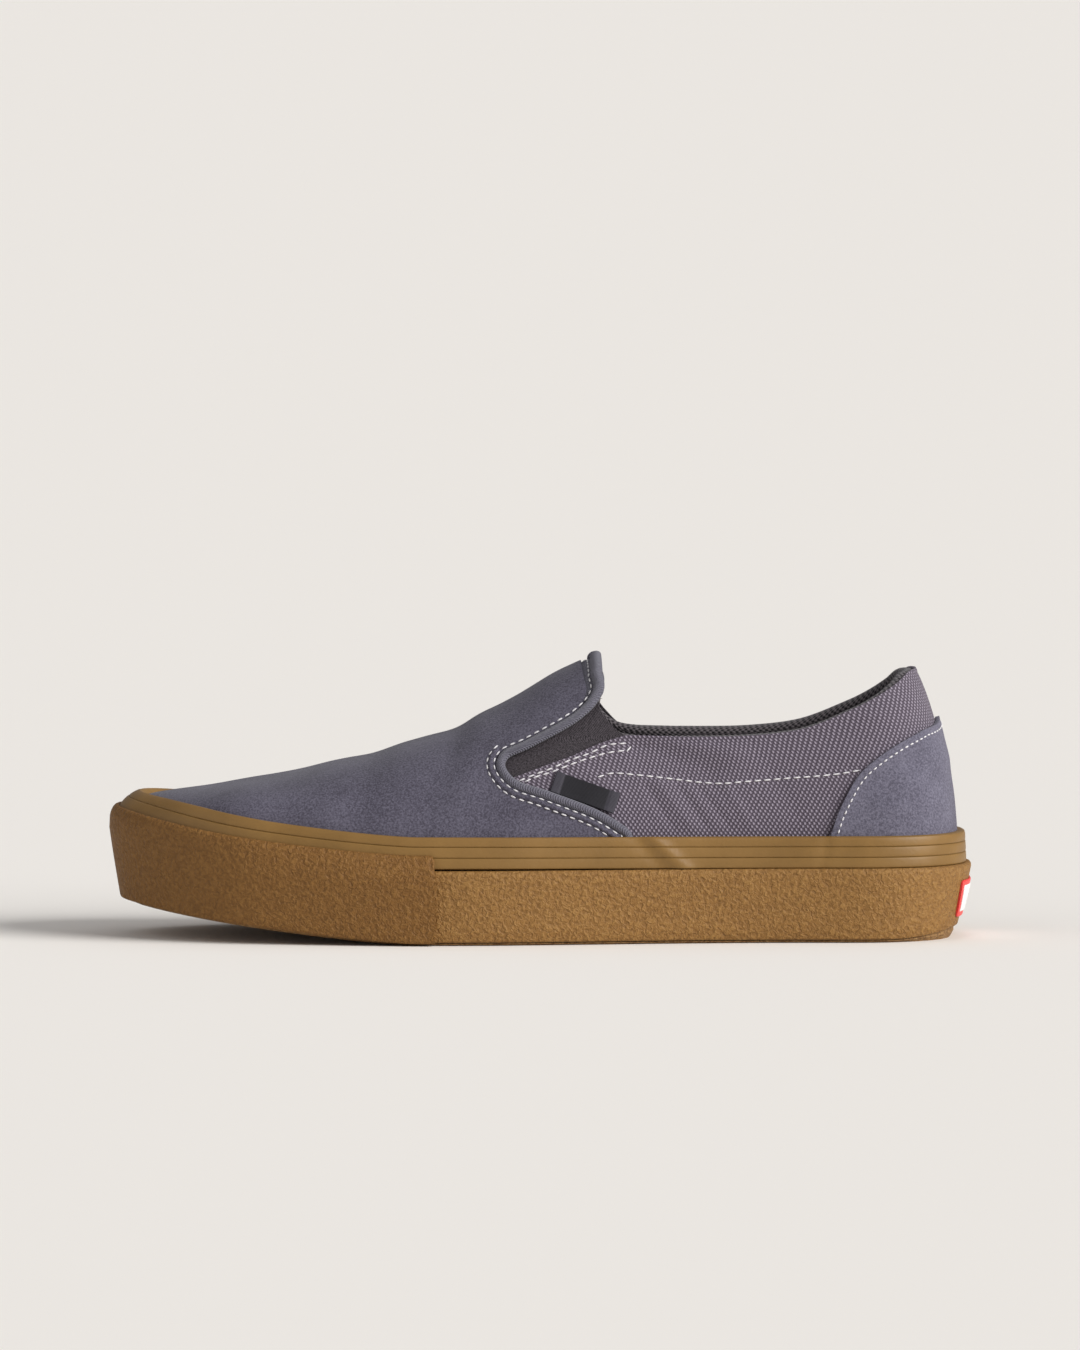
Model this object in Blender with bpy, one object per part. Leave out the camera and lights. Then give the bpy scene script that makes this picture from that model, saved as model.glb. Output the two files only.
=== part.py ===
"""Slip-on sneaker, left shoe, in metres.

The toe points along -X, the outer side of the foot is at -Y and the floor is
z = 0. Every piece is cut from one last: a surface whose sections are worked
out from length, ball width, heel width, instep and heel height. Sizes below
are in millimetres and are turned into metres where a mesh is made.
"""
import math

import bmesh
import bpy
import numpy as np

MM = 0.001

# Overall sizes of the last and the sole
LENGTH = 290.0
BALL_WIDTH = 104.0
HEEL_WIDTH = 79.0
INSTEP_HEIGHT = 94.0
COLLAR_HEIGHT = 69.3
HEEL_HEIGHT = 90.6
TOE_SPRING = 12.6
TOE_SWING = 5.0
RIDGE_SWING = 4.0

# Sole: slab, wall, tape and bumper
FOREFOOT_STACK = 13.0
HEEL_STACK = 17.0
EDGE_HEIGHT = 0.8
EDGE_INSET = 1.3
HEEL_STEP = 2.8
FOXING_HEIGHT = 25.0
FOXING_WALL = 3.6
FOXING_LEAN = 2.4
TOE_LEAN = 1.6
HEEL_LEAN = 3.8
TAPE_HEIGHT = 10.5
TAPE_WALL = 3.3
TAPE_RIBS = 3
RIB_RELIEF = 0.7
BUMPER_HEIGHT = 29.3
BUMPER_WALL = 1.7
BUMPER_END = 110.0
SHELF = 2.0
GROOVE_WIDTH = 3.0
GROOVE_DEPTH = 1.2
GROOVE_PITCH = 9.0
GROOVE_MARGIN = 9.0

# Upper, overlays and insole
UPPER_WALL = 2.0
COLLAR_PAD = 4.2
LIP_PAD = 1.4
SUEDE = 1.4
BINDING_WIDTH = 2.7
LIP_BAND = 5.6
BINDING_THICK = 1.9
BINDING_LIFT = 0.8
TAG_LENGTH = 21.0
TAG_WIDTH = 6.4
TAG_THICK = 0.8
INSOLE_THICK = 4.0
PLATE_WIDTH = 38.0
PLATE_HEIGHT = 12.4
PLATE_FOOT = 7.2
PLATE_THICK = 0.6
GAP = 0.3
OVERLAY_GAP = 0.45

# The last is walked round in stations: a fan about the toe centre, straight
# across the middle, and a fan about the heel centre
TOE_CENTRE = 0.19 * LENGTH
HEEL_CENTRE = 0.862 * LENGTH
TOE_STEPS = 10
MIDDLE_STEPS = 16
HEEL_STEPS = 8
TOE_SQUARE = 2.4
HEEL_SQUARE = 2.3

# Half widths of the sole as shares of the width at that place, along = share
# of the length from the toe
WIDTHS = [
    # along, outer, inner
    (0.00, 0.300, 0.390),
    (0.10, 0.385, 0.440),
    (0.20, 0.445, 0.478),
    (0.28, 0.482, 0.497),
    (0.36, 0.503, 0.500),
    (0.44, 0.510, 0.470),
    (0.52, 0.505, 0.436),
    (0.60, 0.502, 0.428),
    (0.68, 0.500, 0.452),
    (0.76, 0.500, 0.485),
    (0.86, 0.500, 0.500),
    (1.00, 0.500, 0.500),
]

# Ridge of the last, up = share of the height from the tape's top to the instep
RIDGE = [
    # along, up
    (0.000, 0.015),
    (0.050, 0.030),
    (0.110, 0.082),
    (0.166, 0.162),
    (0.221, 0.246),
    (0.276, 0.340),
    (0.334, 0.438),
    (0.390, 0.537),
    (0.431, 0.624),
    (0.472, 0.738),
    (0.514, 0.862),
    (0.541, 0.925),
    (0.561, 0.968),
    (0.610, 1.060),
    (0.680, 1.150),
    (0.760, 1.200),
    (0.862, 1.200),
    (1.000, 1.170),
]

# Roundness of the sections: side and crown are powers of the cosine and sine
# of the angle up the section, shelf is the share of SHELF inside the wall
SECTIONS = [
    # along, side, crown, shelf
    (0.00, 0.50, 0.30, 0.10),
    (0.12, 0.54, 0.38, 0.20),
    (0.25, 0.66, 0.60, 0.40),
    (0.38, 0.80, 0.80, 0.50),
    (0.50, 0.92, 0.96, 0.50),
    (0.65, 0.92, 1.00, 0.60),
    (0.80, 0.86, 1.00, 0.80),
    (1.00, 0.83, 1.00, 1.00),
]

# Collar top line, rise = share from collar height to heel height
COLLAR = [
    # along, rise
    (0.600, 0.02),
    (0.680, 0.00),
    (0.748, 0.02),
    (0.806, 0.13),
    (0.861, 0.43),
    (0.889, 0.62),
    (0.912, 0.82),
    (0.930, 1.00),
    (1.000, 1.00),
]

# Front of the opening, one row for each column of the upper's grid: foot is
# where the column stands, head is where it ends, lift = share of the height
# from the collar to the instep
THROAT = [
    # foot, head, lift
    (0.538, 0.5690, 0.900),
    (0.545, 0.5710, 0.780),
    (0.553, 0.5720, 0.620),
    (0.562, 0.5710, 0.460),
    (0.573, 0.5690, 0.320),
    (0.603, 0.5850, 0.110),
    (0.645, 0.6130, 0.020),
    (0.686, 0.6600, 0.000),
]
LIP_FOOT = 0.528
LIP_HEAD = 0.566
LIP_COLUMNS = 11
COLLAR_COLUMNS = 5

# Rear edge of the vamp from the tape to the lip's middle, up as for the ridge
VAMP_EDGE = [
    # along, up
    (0.596, 0.000),
    (0.560, 0.106),
    (0.506, 0.207),
    (0.468, 0.270),
    (0.450, 0.372),
    (0.457, 0.462),
    (0.487, 0.534),
    (0.541, 0.686),
    (0.554, 0.790),
    (0.551, 0.890),
    (0.545, 9.000),
]

# Front edge of the heel counter from the tape to the back of the heel
COUNTER_EDGE = [
    # along, up
    (0.834, 0.000),
    (0.845, 0.150),
    (0.865, 0.330),
    (0.886, 0.430),
    (0.913, 0.520),
    (0.940, 0.590),
]
COUNTER_BACK = 0.645

TAG_CORNER = (0.519, 0.285)
TAG_TURN = -19.0


def curve(rows, at, column=1):
    """Smooth curve through a column of a table whose first column rises."""
    keys = [row[0] for row in rows]
    values = [row[column] for row in rows]
    if at <= keys[0]:
        return values[0]
    if at >= keys[-1]:
        return values[-1]
    k = next(i for i in range(len(keys) - 1) if at <= keys[i + 1])

    def slope(i):
        low, high = max(i - 1, 0), min(i + 1, len(keys) - 1)
        return (values[high] - values[low]) / (keys[high] - keys[low])

    span = keys[k + 1] - keys[k]
    t = (at - keys[k]) / span
    start, end = slope(k) * span, slope(k + 1) * span
    rise = values[k + 1] - values[k]
    return values[k] + t * start + t * t * (3 * rise - 2 * start - end) + t ** 3 * (start + end - 2 * rise)


def clamp(value, low=0.0, high=1.0):
    return min(max(value, low), high)


def smooth(value):
    t = clamp(value)
    return t * t * (3 - 2 * t)


def ground(x):
    """Height of the sole's underside above the floor, x from the toe tip."""
    reach = 0.355 * LENGTH
    return TOE_SPRING * clamp((reach - x) / reach) ** 1.3


def stack(x):
    return FOREFOOT_STACK + (HEEL_STACK - FOREFOOT_STACK) * smooth((x / LENGTH - 0.35) / 0.4)


def wall_top(x):
    """Height of the tape's top edge above the floor."""
    return ground(x) + FOXING_HEIGHT + TAPE_HEIGHT


def raised(x, up):
    return wall_top(x) + up * (INSTEP_HEIGHT - FOXING_HEIGHT - TAPE_HEIGHT)


def swing(x):
    """Sideways shift of the toe towards the inner side of the foot."""
    return TOE_SWING * clamp((TOE_CENTRE - x) / TOE_CENTRE) ** 2


def half_width(x, side):
    along = x / LENGTH
    width = BALL_WIDTH + (HEEL_WIDTH - BALL_WIDTH) * smooth((along - 0.37) / 0.43)
    half = width * curve(WIDTHS, along, 1 if side < 0 else 2)
    front = TOE_CENTRE - BUMPER_WALL - GAP
    toe = clamp((TOE_CENTRE - x) / front)
    heel = clamp((x - HEEL_CENTRE) / (LENGTH - HEEL_CENTRE))
    return half * (1 - toe ** TOE_SQUARE) ** (1 / TOE_SQUARE) * (1 - heel ** HEEL_SQUARE) ** (1 / HEEL_SQUARE)


def ray(q):
    """Centre on the shoe's middle line and direction of one station."""
    if q <= 1:
        turn = q * math.pi / 2
        return TOE_CENTRE, -math.cos(turn), math.sin(turn)
    if q < 2:
        return TOE_CENTRE + (q - 1) * (HEEL_CENTRE - TOE_CENTRE), 0.0, 1.0
    turn = (3 - q) * math.pi / 2
    return HEEL_CENTRE, math.cos(turn), math.sin(turn)


REACH = {}


def reach(q, side):
    """Length of a station's ray from the centre to the wall's widest line."""
    key = (round(q, 9), side)
    if key not in REACH:
        centre, along, across = ray(q)
        low, high = 0.0, LENGTH
        for _ in range(40):
            middle = (low + high) / 2
            inside = middle * across < half_width(centre + middle * along, side)
            if along < 0:
                inside = inside and centre + middle * along > BUMPER_WALL + GAP
            if along > 0:
                inside = inside and centre + middle * along < LENGTH
            low, high = (middle, high) if inside else (low, middle)
        REACH[key] = low
    return REACH[key]


def lean(q):
    """Inward lean of the wall from its widest line to its foot."""
    toe = clamp(1 - q) ** 1.5
    heel = clamp(q - 2) ** 1.5
    return FOXING_LEAN + toe * TOE_LEAN + heel * HEEL_LEAN


def wall_radius(q, side, level):
    """Ray length to the outer face of the foxing, level above the sole's underside."""
    return reach(q, side) - lean(q) * clamp((FOXING_HEIGHT - 1 - level) / (FOXING_HEIGHT - 1)) ** 1.1


def ring_point(q, side, radius, level):
    centre, along, across = ray(q)
    x = centre + radius * along
    return np.array((x - LENGTH / 2, side * radius * across + swing(x), ground(x) + level))


def last_point(q, side, u):
    """Point of the last's surface, u from the feather line to the ridge."""
    if u > 1:
        return last_point(q, -side, 2 - u)
    if q < 0:
        return last_point(-q, -side, u)
    if q > 3:
        return last_point(6 - q, -side, u)
    centre, along, across = ray(q)
    full = reach(q, side)
    place = (centre + full * along) / LENGTH
    angle = clamp(u) * math.pi / 2
    inset = FOXING_WALL + GAP + SHELF * curve(SECTIONS, place, 3)
    out = max(math.cos(angle), 0.0) ** curve(SECTIONS, place, 1)
    rise = math.sin(angle) ** curve(SECTIONS, place, 2)
    radius = (full - inset) * out
    x = centre + radius * along
    base = ground(x) + stack(x) + 3 * GAP
    z = base + (raised(x, curve(RIDGE, x / LENGTH)) - base) * rise
    level = z - ground(x)
    if level < FOXING_HEIGHT:
        radius = min(radius, wall_radius(q, side, level) - FOXING_WALL - GAP)
        x = centre + radius * along
    top = RIDGE_SWING * rise * smooth((x / LENGTH - 0.15) / 0.3) * smooth((0.75 - x / LENGTH) / 0.2)
    return np.array((x - LENGTH / 2, side * radius * across + swing(x) + top, z))


def last_normal(q, side, u):
    step = 0.004
    go = last_point(q + step, side, u) - last_point(q - step, side, u)
    rise = last_point(q, side, u + step) - last_point(q, side, u - step)
    normal = np.cross(rise, go) * side
    return normal / np.linalg.norm(normal)


def height_u(q, side, height):
    """Place up a section that lies at a height."""
    low, high = 0.0, 1.0
    for _ in range(40):
        middle = (low + high) / 2
        low, high = (middle, high) if last_point(q, side, middle)[2] < height else (low, middle)
    return (low + high) / 2


def locate(x, height, side):
    """Station and place up the section of a point given from the side."""
    if x <= HEEL_CENTRE:
        q = 1 + (x - TOE_CENTRE) / (HEEL_CENTRE - TOE_CENTRE)
        return q, height_u(q, side, height)
    low, high = 2.0, 3.0
    for _ in range(30):
        middle = (low + high) / 2
        ahead = last_point(middle, side, height_u(middle, side, height))[0] + LENGTH / 2 < x
        low, high = (middle, high) if ahead else (low, middle)
    return low, height_u(low, side, height)


def even_walk(path, side, count):
    """Evenly spaced places along a path over the last, t from 0 to 1."""
    fine = [path((k / 90) ** 1.7) for k in range(91)]
    points = [last_point(q, side, u) for q, u in fine]
    lengths = np.concatenate(([0.0], np.cumsum([np.linalg.norm(b - a) for a, b in zip(points, points[1:])])))
    walk = []
    for k in range(count + 1):
        at = np.interp(lengths[-1] * k / count, lengths, np.linspace(0, 1, 91))
        walk.append(path((at) ** 1.7))
    return walk


TAPE_PLACES = {}


def tape_u(q, side, climb):
    """Place up the section that lies a distance up the surface from the foxing's top."""
    key = (round(q, 9), side)
    if key not in TAPE_PLACES:
        x = ray(q)[0] + reach(q, side) * ray(q)[1]
        start = height_u(q, side, ground(x) + FOXING_HEIGHT)
        places = [start + (1 - start) * (k / 200) ** 1.5 for k in range(201)]
        points = [last_point(q, side, u) for u in places]
        run = np.concatenate(([0.0], np.cumsum([np.linalg.norm(b - a) for a, b in zip(points, points[1:])])))
        TAPE_PLACES[key] = (run, places)
    run, places = TAPE_PLACES[key]
    return float(np.interp(climb, run, places))


def overlay_foot(q, side):
    """Place up the section where the overlays start, just above the tape."""
    return tape_u(q, side, TAPE_HEIGHT + GAP)


def stations():
    """Station numbers from the toe along one side to the heel."""
    toe = [k / TOE_STEPS for k in range(TOE_STEPS)]
    middle = [1 + k / MIDDLE_STEPS for k in range(MIDDLE_STEPS)]
    heel = [2 + k / HEEL_STEPS for k in range(HEEL_STEPS + 1)]
    return toe + middle + heel


def round_trip():
    """All stations once round the shoe, outer side first."""
    half = stations()
    return [(q, -1) for q in half] + [(q, 1) for q in half[-2:0:-1]]


def finish(name, mesh, material):
    """Merge, turn the faces outwards, shade and place one piece."""
    bmesh.ops.remove_doubles(mesh, verts=mesh.verts, dist=0.000002)
    bmesh.ops.recalc_face_normals(mesh, faces=mesh.faces)
    data = bpy.data.meshes.new(name)
    mesh.to_mesh(data)
    mesh.free()
    data.shade_smooth()
    data.set_sharp_from_angle(angle=math.radians(50))
    data.materials.append(material)
    piece = bpy.data.objects.new(name, data)
    bpy.context.scene.collection.objects.link(piece)
    return piece


def paint(name, colour, roughness):
    material = bpy.data.materials.new(name)
    material.use_nodes = True
    shader = material.node_tree.nodes["Principled BSDF"]
    shader.inputs["Base Color"].default_value = (*colour, 1.0)
    shader.inputs["Roughness"].default_value = roughness
    shader.inputs["Metallic"].default_value = 0.0
    return material


def loft(loops, around):
    """Closed body through loops of points, joined round or capped at both ends."""
    mesh = bmesh.new()
    rings = [[mesh.verts.new(point * MM) for point in loop] for loop in loops]
    count = len(rings[0])
    pairs = list(zip(rings, rings[1:] + rings[:1])) if around else list(zip(rings, rings[1:]))
    for near, far in pairs:
        for k in range(count):
            after = (k + 1) % count
            mesh.faces.new((near[k], near[after], far[after], far[k]))
    if not around:
        mesh.faces.new(rings[0])
        mesh.faces.new(rings[-1])
    return mesh


def slab(rings):
    """Closed body through level rings round the shoe, with ladder faces below and above."""
    mesh = bmesh.new()
    loops = [[mesh.verts.new(point * MM) for point in ring] for ring in rings]
    count = len(loops[0])
    for near, far in zip(loops, loops[1:]):
        for k in range(count):
            after = (k + 1) % count
            mesh.faces.new((near[k], near[after], far[after], far[k]))
    for loop in (loops[0], loops[-1]):
        for k in range(count // 2):
            corners = [loop[k], loop[k + 1], loop[(count - k - 1) % count], loop[(count - k) % count]]
            mesh.faces.new(list(dict.fromkeys(corners)))
    return mesh


def shell(columns, inner, outer, rounded):
    """Wall on the last from columns of (q, side, u), each a list from foot to head.

    inner and outer give the depth of both faces along the normal for a place
    (column, row); rounded says whether the wall has a round rim at that place.
    """
    sheet = bmesh.new()
    place = sheet.verts.layers.int.new("place")
    rows = len(columns[0])
    grid = []
    for c, column in enumerate(columns):
        line = []
        for r, (q, side, u) in enumerate(column):
            vert = sheet.verts.new(last_point(q, side, u) * MM)
            vert[place] = c * rows + r
            line.append(vert)
        grid.append(line)
    for near, far in zip(grid, grid[1:]):
        for r in range(rows - 1):
            sheet.faces.new((near[r], far[r], far[r + 1], near[r + 1]))
    bmesh.ops.remove_doubles(sheet, verts=sheet.verts, dist=0.00001)
    bmesh.ops.recalc_face_normals(sheet, faces=sheet.faces)
    outward = 0.0
    for face in sheet.faces:
        centre = face.calc_center_median()
        outward += face.calc_area() * (face.normal.y * centre.y + face.normal.z * (centre.z - wall_top(0) * MM))
    if outward < 0:
        bmesh.ops.reverse_faces(sheet, faces=sheet.faces)
    sheet.normal_update()

    wall = bmesh.new()
    low, high, rim = {}, {}, {}
    for vert in sheet.verts:
        c, r = divmod(vert[place], rows)
        low[vert] = wall.verts.new(vert.co + vert.normal * inner(c, r) * MM)
        high[vert] = wall.verts.new(vert.co + vert.normal * outer(c, r) * MM)
    for face in sheet.faces:
        wall.faces.new([high[vert] for vert in face.verts])
        wall.faces.new([low[vert] for vert in reversed(face.verts)])
    edges = [edge for edge in sheet.edges if edge.is_boundary]
    for edge in edges:
        for vert in edge.verts:
            c, r = divmod(vert[place], rows)
            if vert in rim or not rounded(c, r):
                continue
            inside = [e.other_vert(vert).co for e in vert.link_edges if not e.is_boundary]
            away = vert.co * len(inside) - sum(inside, vert.co * 0)
            ends = [e.other_vert(vert).co for e in vert.link_edges if e.is_boundary]
            up = (ends[0] - ends[1]).cross(vert.normal).normalized()
            up *= math.copysign(1.0, up.dot(away))
            middle = (low[vert].co + high[vert].co) / 2
            half = (high[vert].co - low[vert].co) / 2
            rim[vert] = [wall.verts.new(middle - half * math.cos(a) + up * half.length * math.sin(a))
                         for a in (math.radians(40), math.radians(90), math.radians(140))]
    for edge in edges:
        one, two = edge.verts
        steps = []
        for vert in (one, two):
            steps.append([low[vert], *rim.get(vert, []), high[vert]])
        for a, b, c, d in zip(steps[0], steps[1], steps[1][1:], steps[0][1:]):
            wall.faces.new((a, b, c, d))
    sheet.free()
    return wall


def make_outsole(rubber):
    """Slab with a thin edge under the foxing and a core inside it."""
    foot = {}
    for q, side in round_trip():
        foot[(q, side)] = foxing_foot(q)
    rings = []
    edge = [ring_point(q, side, wall_radius(q, side, foot[(q, side)]) - EDGE_INSET - 1.2, 0.0)
            for q, side in round_trip()]
    rings.append(edge)
    rings.append([ring_point(q, side, wall_radius(q, side, foot[(q, side)]) - EDGE_INSET,
                             0.6 * (foot[(q, side)] - GAP)) for q, side in round_trip()])
    rings.append([ring_point(q, side, wall_radius(q, side, foot[(q, side)]) - EDGE_INSET,
                             foot[(q, side)] - GAP) for q, side in round_trip()])
    for level in (None, 8.0, 1000.0):
        ring = []
        for q, side in round_trip():
            top = min(stack(ring_point(q, side, reach(q, side), 0)[0] + LENGTH / 2), level or foot[(q, side)] - GAP)
            ring.append(ring_point(q, side, wall_radius(q, side, top) - FOXING_WALL - GAP, top))
        rings.append(ring)
    return finish("outsole", slab(rings), rubber)


def foxing_foot(q):
    """Height of the foxing's lower edge above the sole's underside."""
    return EDGE_HEIGHT + GAP + HEEL_STEP * smooth((q - 2.2) / 0.6)


def groove_cutter(rubber):
    """Boxes that cut the cross grooves under forefoot and heel."""
    mesh = bmesh.new()
    zones = [(0.10, 0.42), (0.78, 0.95)]
    for start, end in zones:
        count = int((end - start) * LENGTH / GROOVE_PITCH)
        for k in range(count + 1):
            x = start * LENGTH + k * GROOVE_PITCH
            outer, inner = half_width(x, -1) - GROOVE_MARGIN, half_width(x, 1) - GROOVE_MARGIN
            slope = math.atan2(ground(x + 1) - ground(x - 1), 2)
            corners = []
            for far in (-1, 1):
                for across in (-outer + swing(x), inner + swing(x)):
                    for up in (-2.0, GROOVE_DEPTH):
                        run = far * GROOVE_WIDTH / 2
                        px = x - LENGTH / 2 + run * math.cos(slope) - up * math.sin(slope)
                        pz = ground(x) + run * math.sin(slope) + up * math.cos(slope)
                        corners.append(mesh.verts.new((px * MM, across * MM, pz * MM)))
            for a, b, c, d in ((0, 1, 3, 2), (4, 6, 7, 5), (0, 4, 5, 1), (2, 3, 7, 6), (0, 2, 6, 4), (1, 5, 7, 3)):
                mesh.faces.new((corners[a], corners[b], corners[c], corners[d]))
    cutter = finish("groove_cutter", mesh, rubber)
    cutter.hide_render = True
    cutter.display_type = "WIRE"
    return cutter


def make_foxing(rubber):
    """Leaning wall round the sole, one closed ring."""
    loops = []
    for q, side in round_trip():
        foot = foxing_foot(q)
        loop = []
        for level, inward in ((foot, 0.5), (foot + 0.8, 0.0), (FOXING_HEIGHT / 2, 0.0), (FOXING_HEIGHT - 1.2, 0.0),
                              (FOXING_HEIGHT - 0.3, 0.3), (FOXING_HEIGHT, 1.0)):
            loop.append(ring_point(q, side, wall_radius(q, side, level) - inward, level))
        for level in (FOXING_HEIGHT, FOXING_HEIGHT / 2, foot):
            loop.append(ring_point(q, side, wall_radius(q, side, level) - FOXING_WALL, level))
        loops.append(loop)
    return finish("foxing", loft(loops, True), rubber)


def make_tape(rubber):
    """Three-rib tape that lies on the upper above the foxing."""
    loops = []
    rib = TAPE_HEIGHT / TAPE_RIBS
    for q, side in round_trip():
        loop = []
        for climb in (GAP, TAPE_HEIGHT * 0.4, TAPE_HEIGHT * 0.72, TAPE_HEIGHT):
            u = tape_u(q, side, climb)
            loop.append(last_point(q, side, u) + last_normal(q, side, u) * GAP)
        for k in reversed(range(TAPE_RIBS)):
            for share, proud in ((0.95, 0.0), (0.72, 1.0), (0.28, 1.0)):
                u = tape_u(q, side, GAP + (k + share) * rib * (1 - GAP / TAPE_HEIGHT))
                depth = GAP + TAPE_WALL + RIB_RELIEF * proud
                loop.append(last_point(q, side, u) + last_normal(q, side, u) * depth)
        u = tape_u(q, side, GAP)
        loop.append(last_point(q, side, u) + last_normal(q, side, u) * (GAP + TAPE_WALL))
        loops.append(loop)
    return finish("foxing_tape", loft(loops, True), rubber)


def station_of(x):
    return 1 + (x - TOE_CENTRE) / (HEEL_CENTRE - TOE_CENTRE)


def tape_skin(q, side, climb, proud):
    """Point a distance up the tape and a distance off its ribs."""
    u = tape_u(q, side, climb)
    return last_point(q, side, u) + last_normal(q, side, u) * (GAP + TAPE_WALL + RIB_RELIEF + proud)


def make_bumper(rubber):
    """Second strip of wall round the toe, with square ends behind the ball."""
    end = station_of(BUMPER_END)
    half = [q for q in stations() if q < end - 0.02] + [end]
    trip = [(q, 1) for q in half[::-1]] + [(q, -1) for q in half[1:]]
    over = BUMPER_HEIGHT - FOXING_HEIGHT
    loops = []
    for q, side in trip:
        loop = []
        for level, inward in ((1.0, 0.4), (1.8, 0.0), (9.0, 0.0), (17.0, 0.0), (FOXING_HEIGHT - 1.0, 0.0)):
            loop.append(ring_point(q, side, wall_radius(q, side, level) + GAP + BUMPER_WALL - inward, level))
        for climb, proud in ((over - 1.6, 2.0), (over - 0.6, 1.7), (over, 1.0), (over, GAP), (1.0, GAP)):
            loop.append(tape_skin(q, side, climb, proud))
        for level in (FOXING_HEIGHT + GAP, FOXING_HEIGHT - 1.2, 16.0, 9.0, 1.0):
            loop.append(ring_point(q, side, wall_radius(q, side, level) + GAP, level))
        loops.append(loop)
    return finish("toe_bumper", loft(loops, False), rubber)


def make_plate(rubber):
    """Plain plate on the back of the foxing."""
    span = PLATE_WIDTH / 2 / ((LENGTH - HEEL_CENTRE) * math.pi / 2)
    trip = [(3 - span * k / 4, -1) for k in range(4, 0, -1)] + [(3 - span * k / 4, 1) for k in range(5)]
    loops = []
    for q, side in trip:
        levels = (PLATE_FOOT, PLATE_FOOT + PLATE_HEIGHT / 2, PLATE_FOOT + PLATE_HEIGHT)
        loop = [ring_point(q, side, wall_radius(q, side, level) + GAP + PLATE_THICK, level) for level in levels]
        loop += [ring_point(q, side, wall_radius(q, side, level) + GAP, level) for level in levels[::-1]]
        loops.append(loop)
    return finish("heel_plate", loft(loops, False), rubber)


def collar_height(x):
    return COLLAR_HEIGHT + (HEEL_HEIGHT - COLLAR_HEIGHT) * curve(COLLAR, x / LENGTH)


def collar_u(q, side):
    """Place up a section where it meets the collar's top line."""
    low, high = 0.0, 1.0
    for _ in range(40):
        middle = (low + high) / 2
        point = last_point(q, side, middle)
        low, high = (middle, high) if point[2] < collar_height(point[0] + LENGTH / 2) else (low, middle)
    return low


def upper_heads():
    """Foot and head of the upper's columns along one side, with the place up at the head."""
    heads = [(k / TOE_STEPS, k / TOE_STEPS, None) for k in range(TOE_STEPS)]
    for k in range(LIP_COLUMNS + 1):
        t = k / LIP_COLUMNS
        foot = TOE_CENTRE + t * (LIP_FOOT * LENGTH - TOE_CENTRE)
        head = TOE_CENTRE + t * (LIP_HEAD * LENGTH - TOE_CENTRE)
        heads.append((station_of(foot), station_of(head), None))
    for foot, head, lift in THROAT:
        heads.append((station_of(foot * LENGTH), station_of(head * LENGTH),
                      COLLAR_HEIGHT + lift * (INSTEP_HEIGHT - COLLAR_HEIGHT)))
    last_foot, last_head = THROAT[-1][0] * LENGTH, THROAT[-1][1] * LENGTH
    for k in range(1, COLLAR_COLUMNS + 1):
        t = k / COLLAR_COLUMNS
        heads.append((station_of(last_foot + t * (HEEL_CENTRE - last_foot)),
                      station_of(last_head + t * (HEEL_CENTRE - last_head)), -1.0))
    heads += [(2 + k / HEEL_STEPS, 2 + k / HEEL_STEPS, -1.0) for k in range(1, HEEL_STEPS + 1)]
    return heads


UPPER_ROWS = 11


def make_upper(cloth):
    """Hollow shell of the upper, open at the collar and underneath."""
    columns, kinds = [], []
    half = upper_heads()
    for side, part in ((-1, half), (1, half[-2::-1])):
        for foot, head, height in part:
            if height is None:
                top = 1.0
            elif height < 0:
                top = collar_u(head, side)
            else:
                top = height_u(head, side, height)

            def path(t, foot=foot, head=head, top=top):
                return foot + (head - foot) * t, top * t

            columns.append([(q, side, u) for q, u in even_walk(path, side, UPPER_ROWS)])
            kinds.append("vamp" if height is None else "collar" if height < 0 else "throat")

    def depth(c, r):
        pad = {"vamp": 0.0, "throat": LIP_PAD, "collar": COLLAR_PAD}[kinds[c]]
        return -(UPPER_WALL + pad * smooth((r / UPPER_ROWS - 0.62) / 0.3))

    wall = shell(columns, depth, lambda c, r: 0.0, lambda c, r: r == UPPER_ROWS)
    return finish("upper", wall, cloth)


def overlay_edge(rows, side, count):
    """Places (station, share of the section above the tape) along a table's edge."""
    keys = [(k, row[0], row[1]) for k, row in enumerate(rows)]
    places = []
    for k in range(count + 1):
        t = k / count * (len(rows) - 1)
        x, up = curve(keys, t, 1) * LENGTH, curve(keys, t, 2)
        q, u = locate(x, raised(x, up), side)
        foot = overlay_foot(q, side)
        places.append((q, clamp((u - foot) / (1 - foot))))
    places[0] = (places[0][0], 0.0)
    return places


def share_u(q, side, share):
    foot = overlay_foot(q, side)
    return foot + (1 - foot) * share


VAMP_ROWS = 14
VAMP_STEPS = 9


def vamp_edge_rows():
    """The vamp's edge with its last row brought onto the ridge."""
    rows = [row for row in VAMP_EDGE[:-1]]
    x = VAMP_EDGE[-1][0]
    rows.append((x, curve(RIDGE, x) + 0.02))
    return rows


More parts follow.
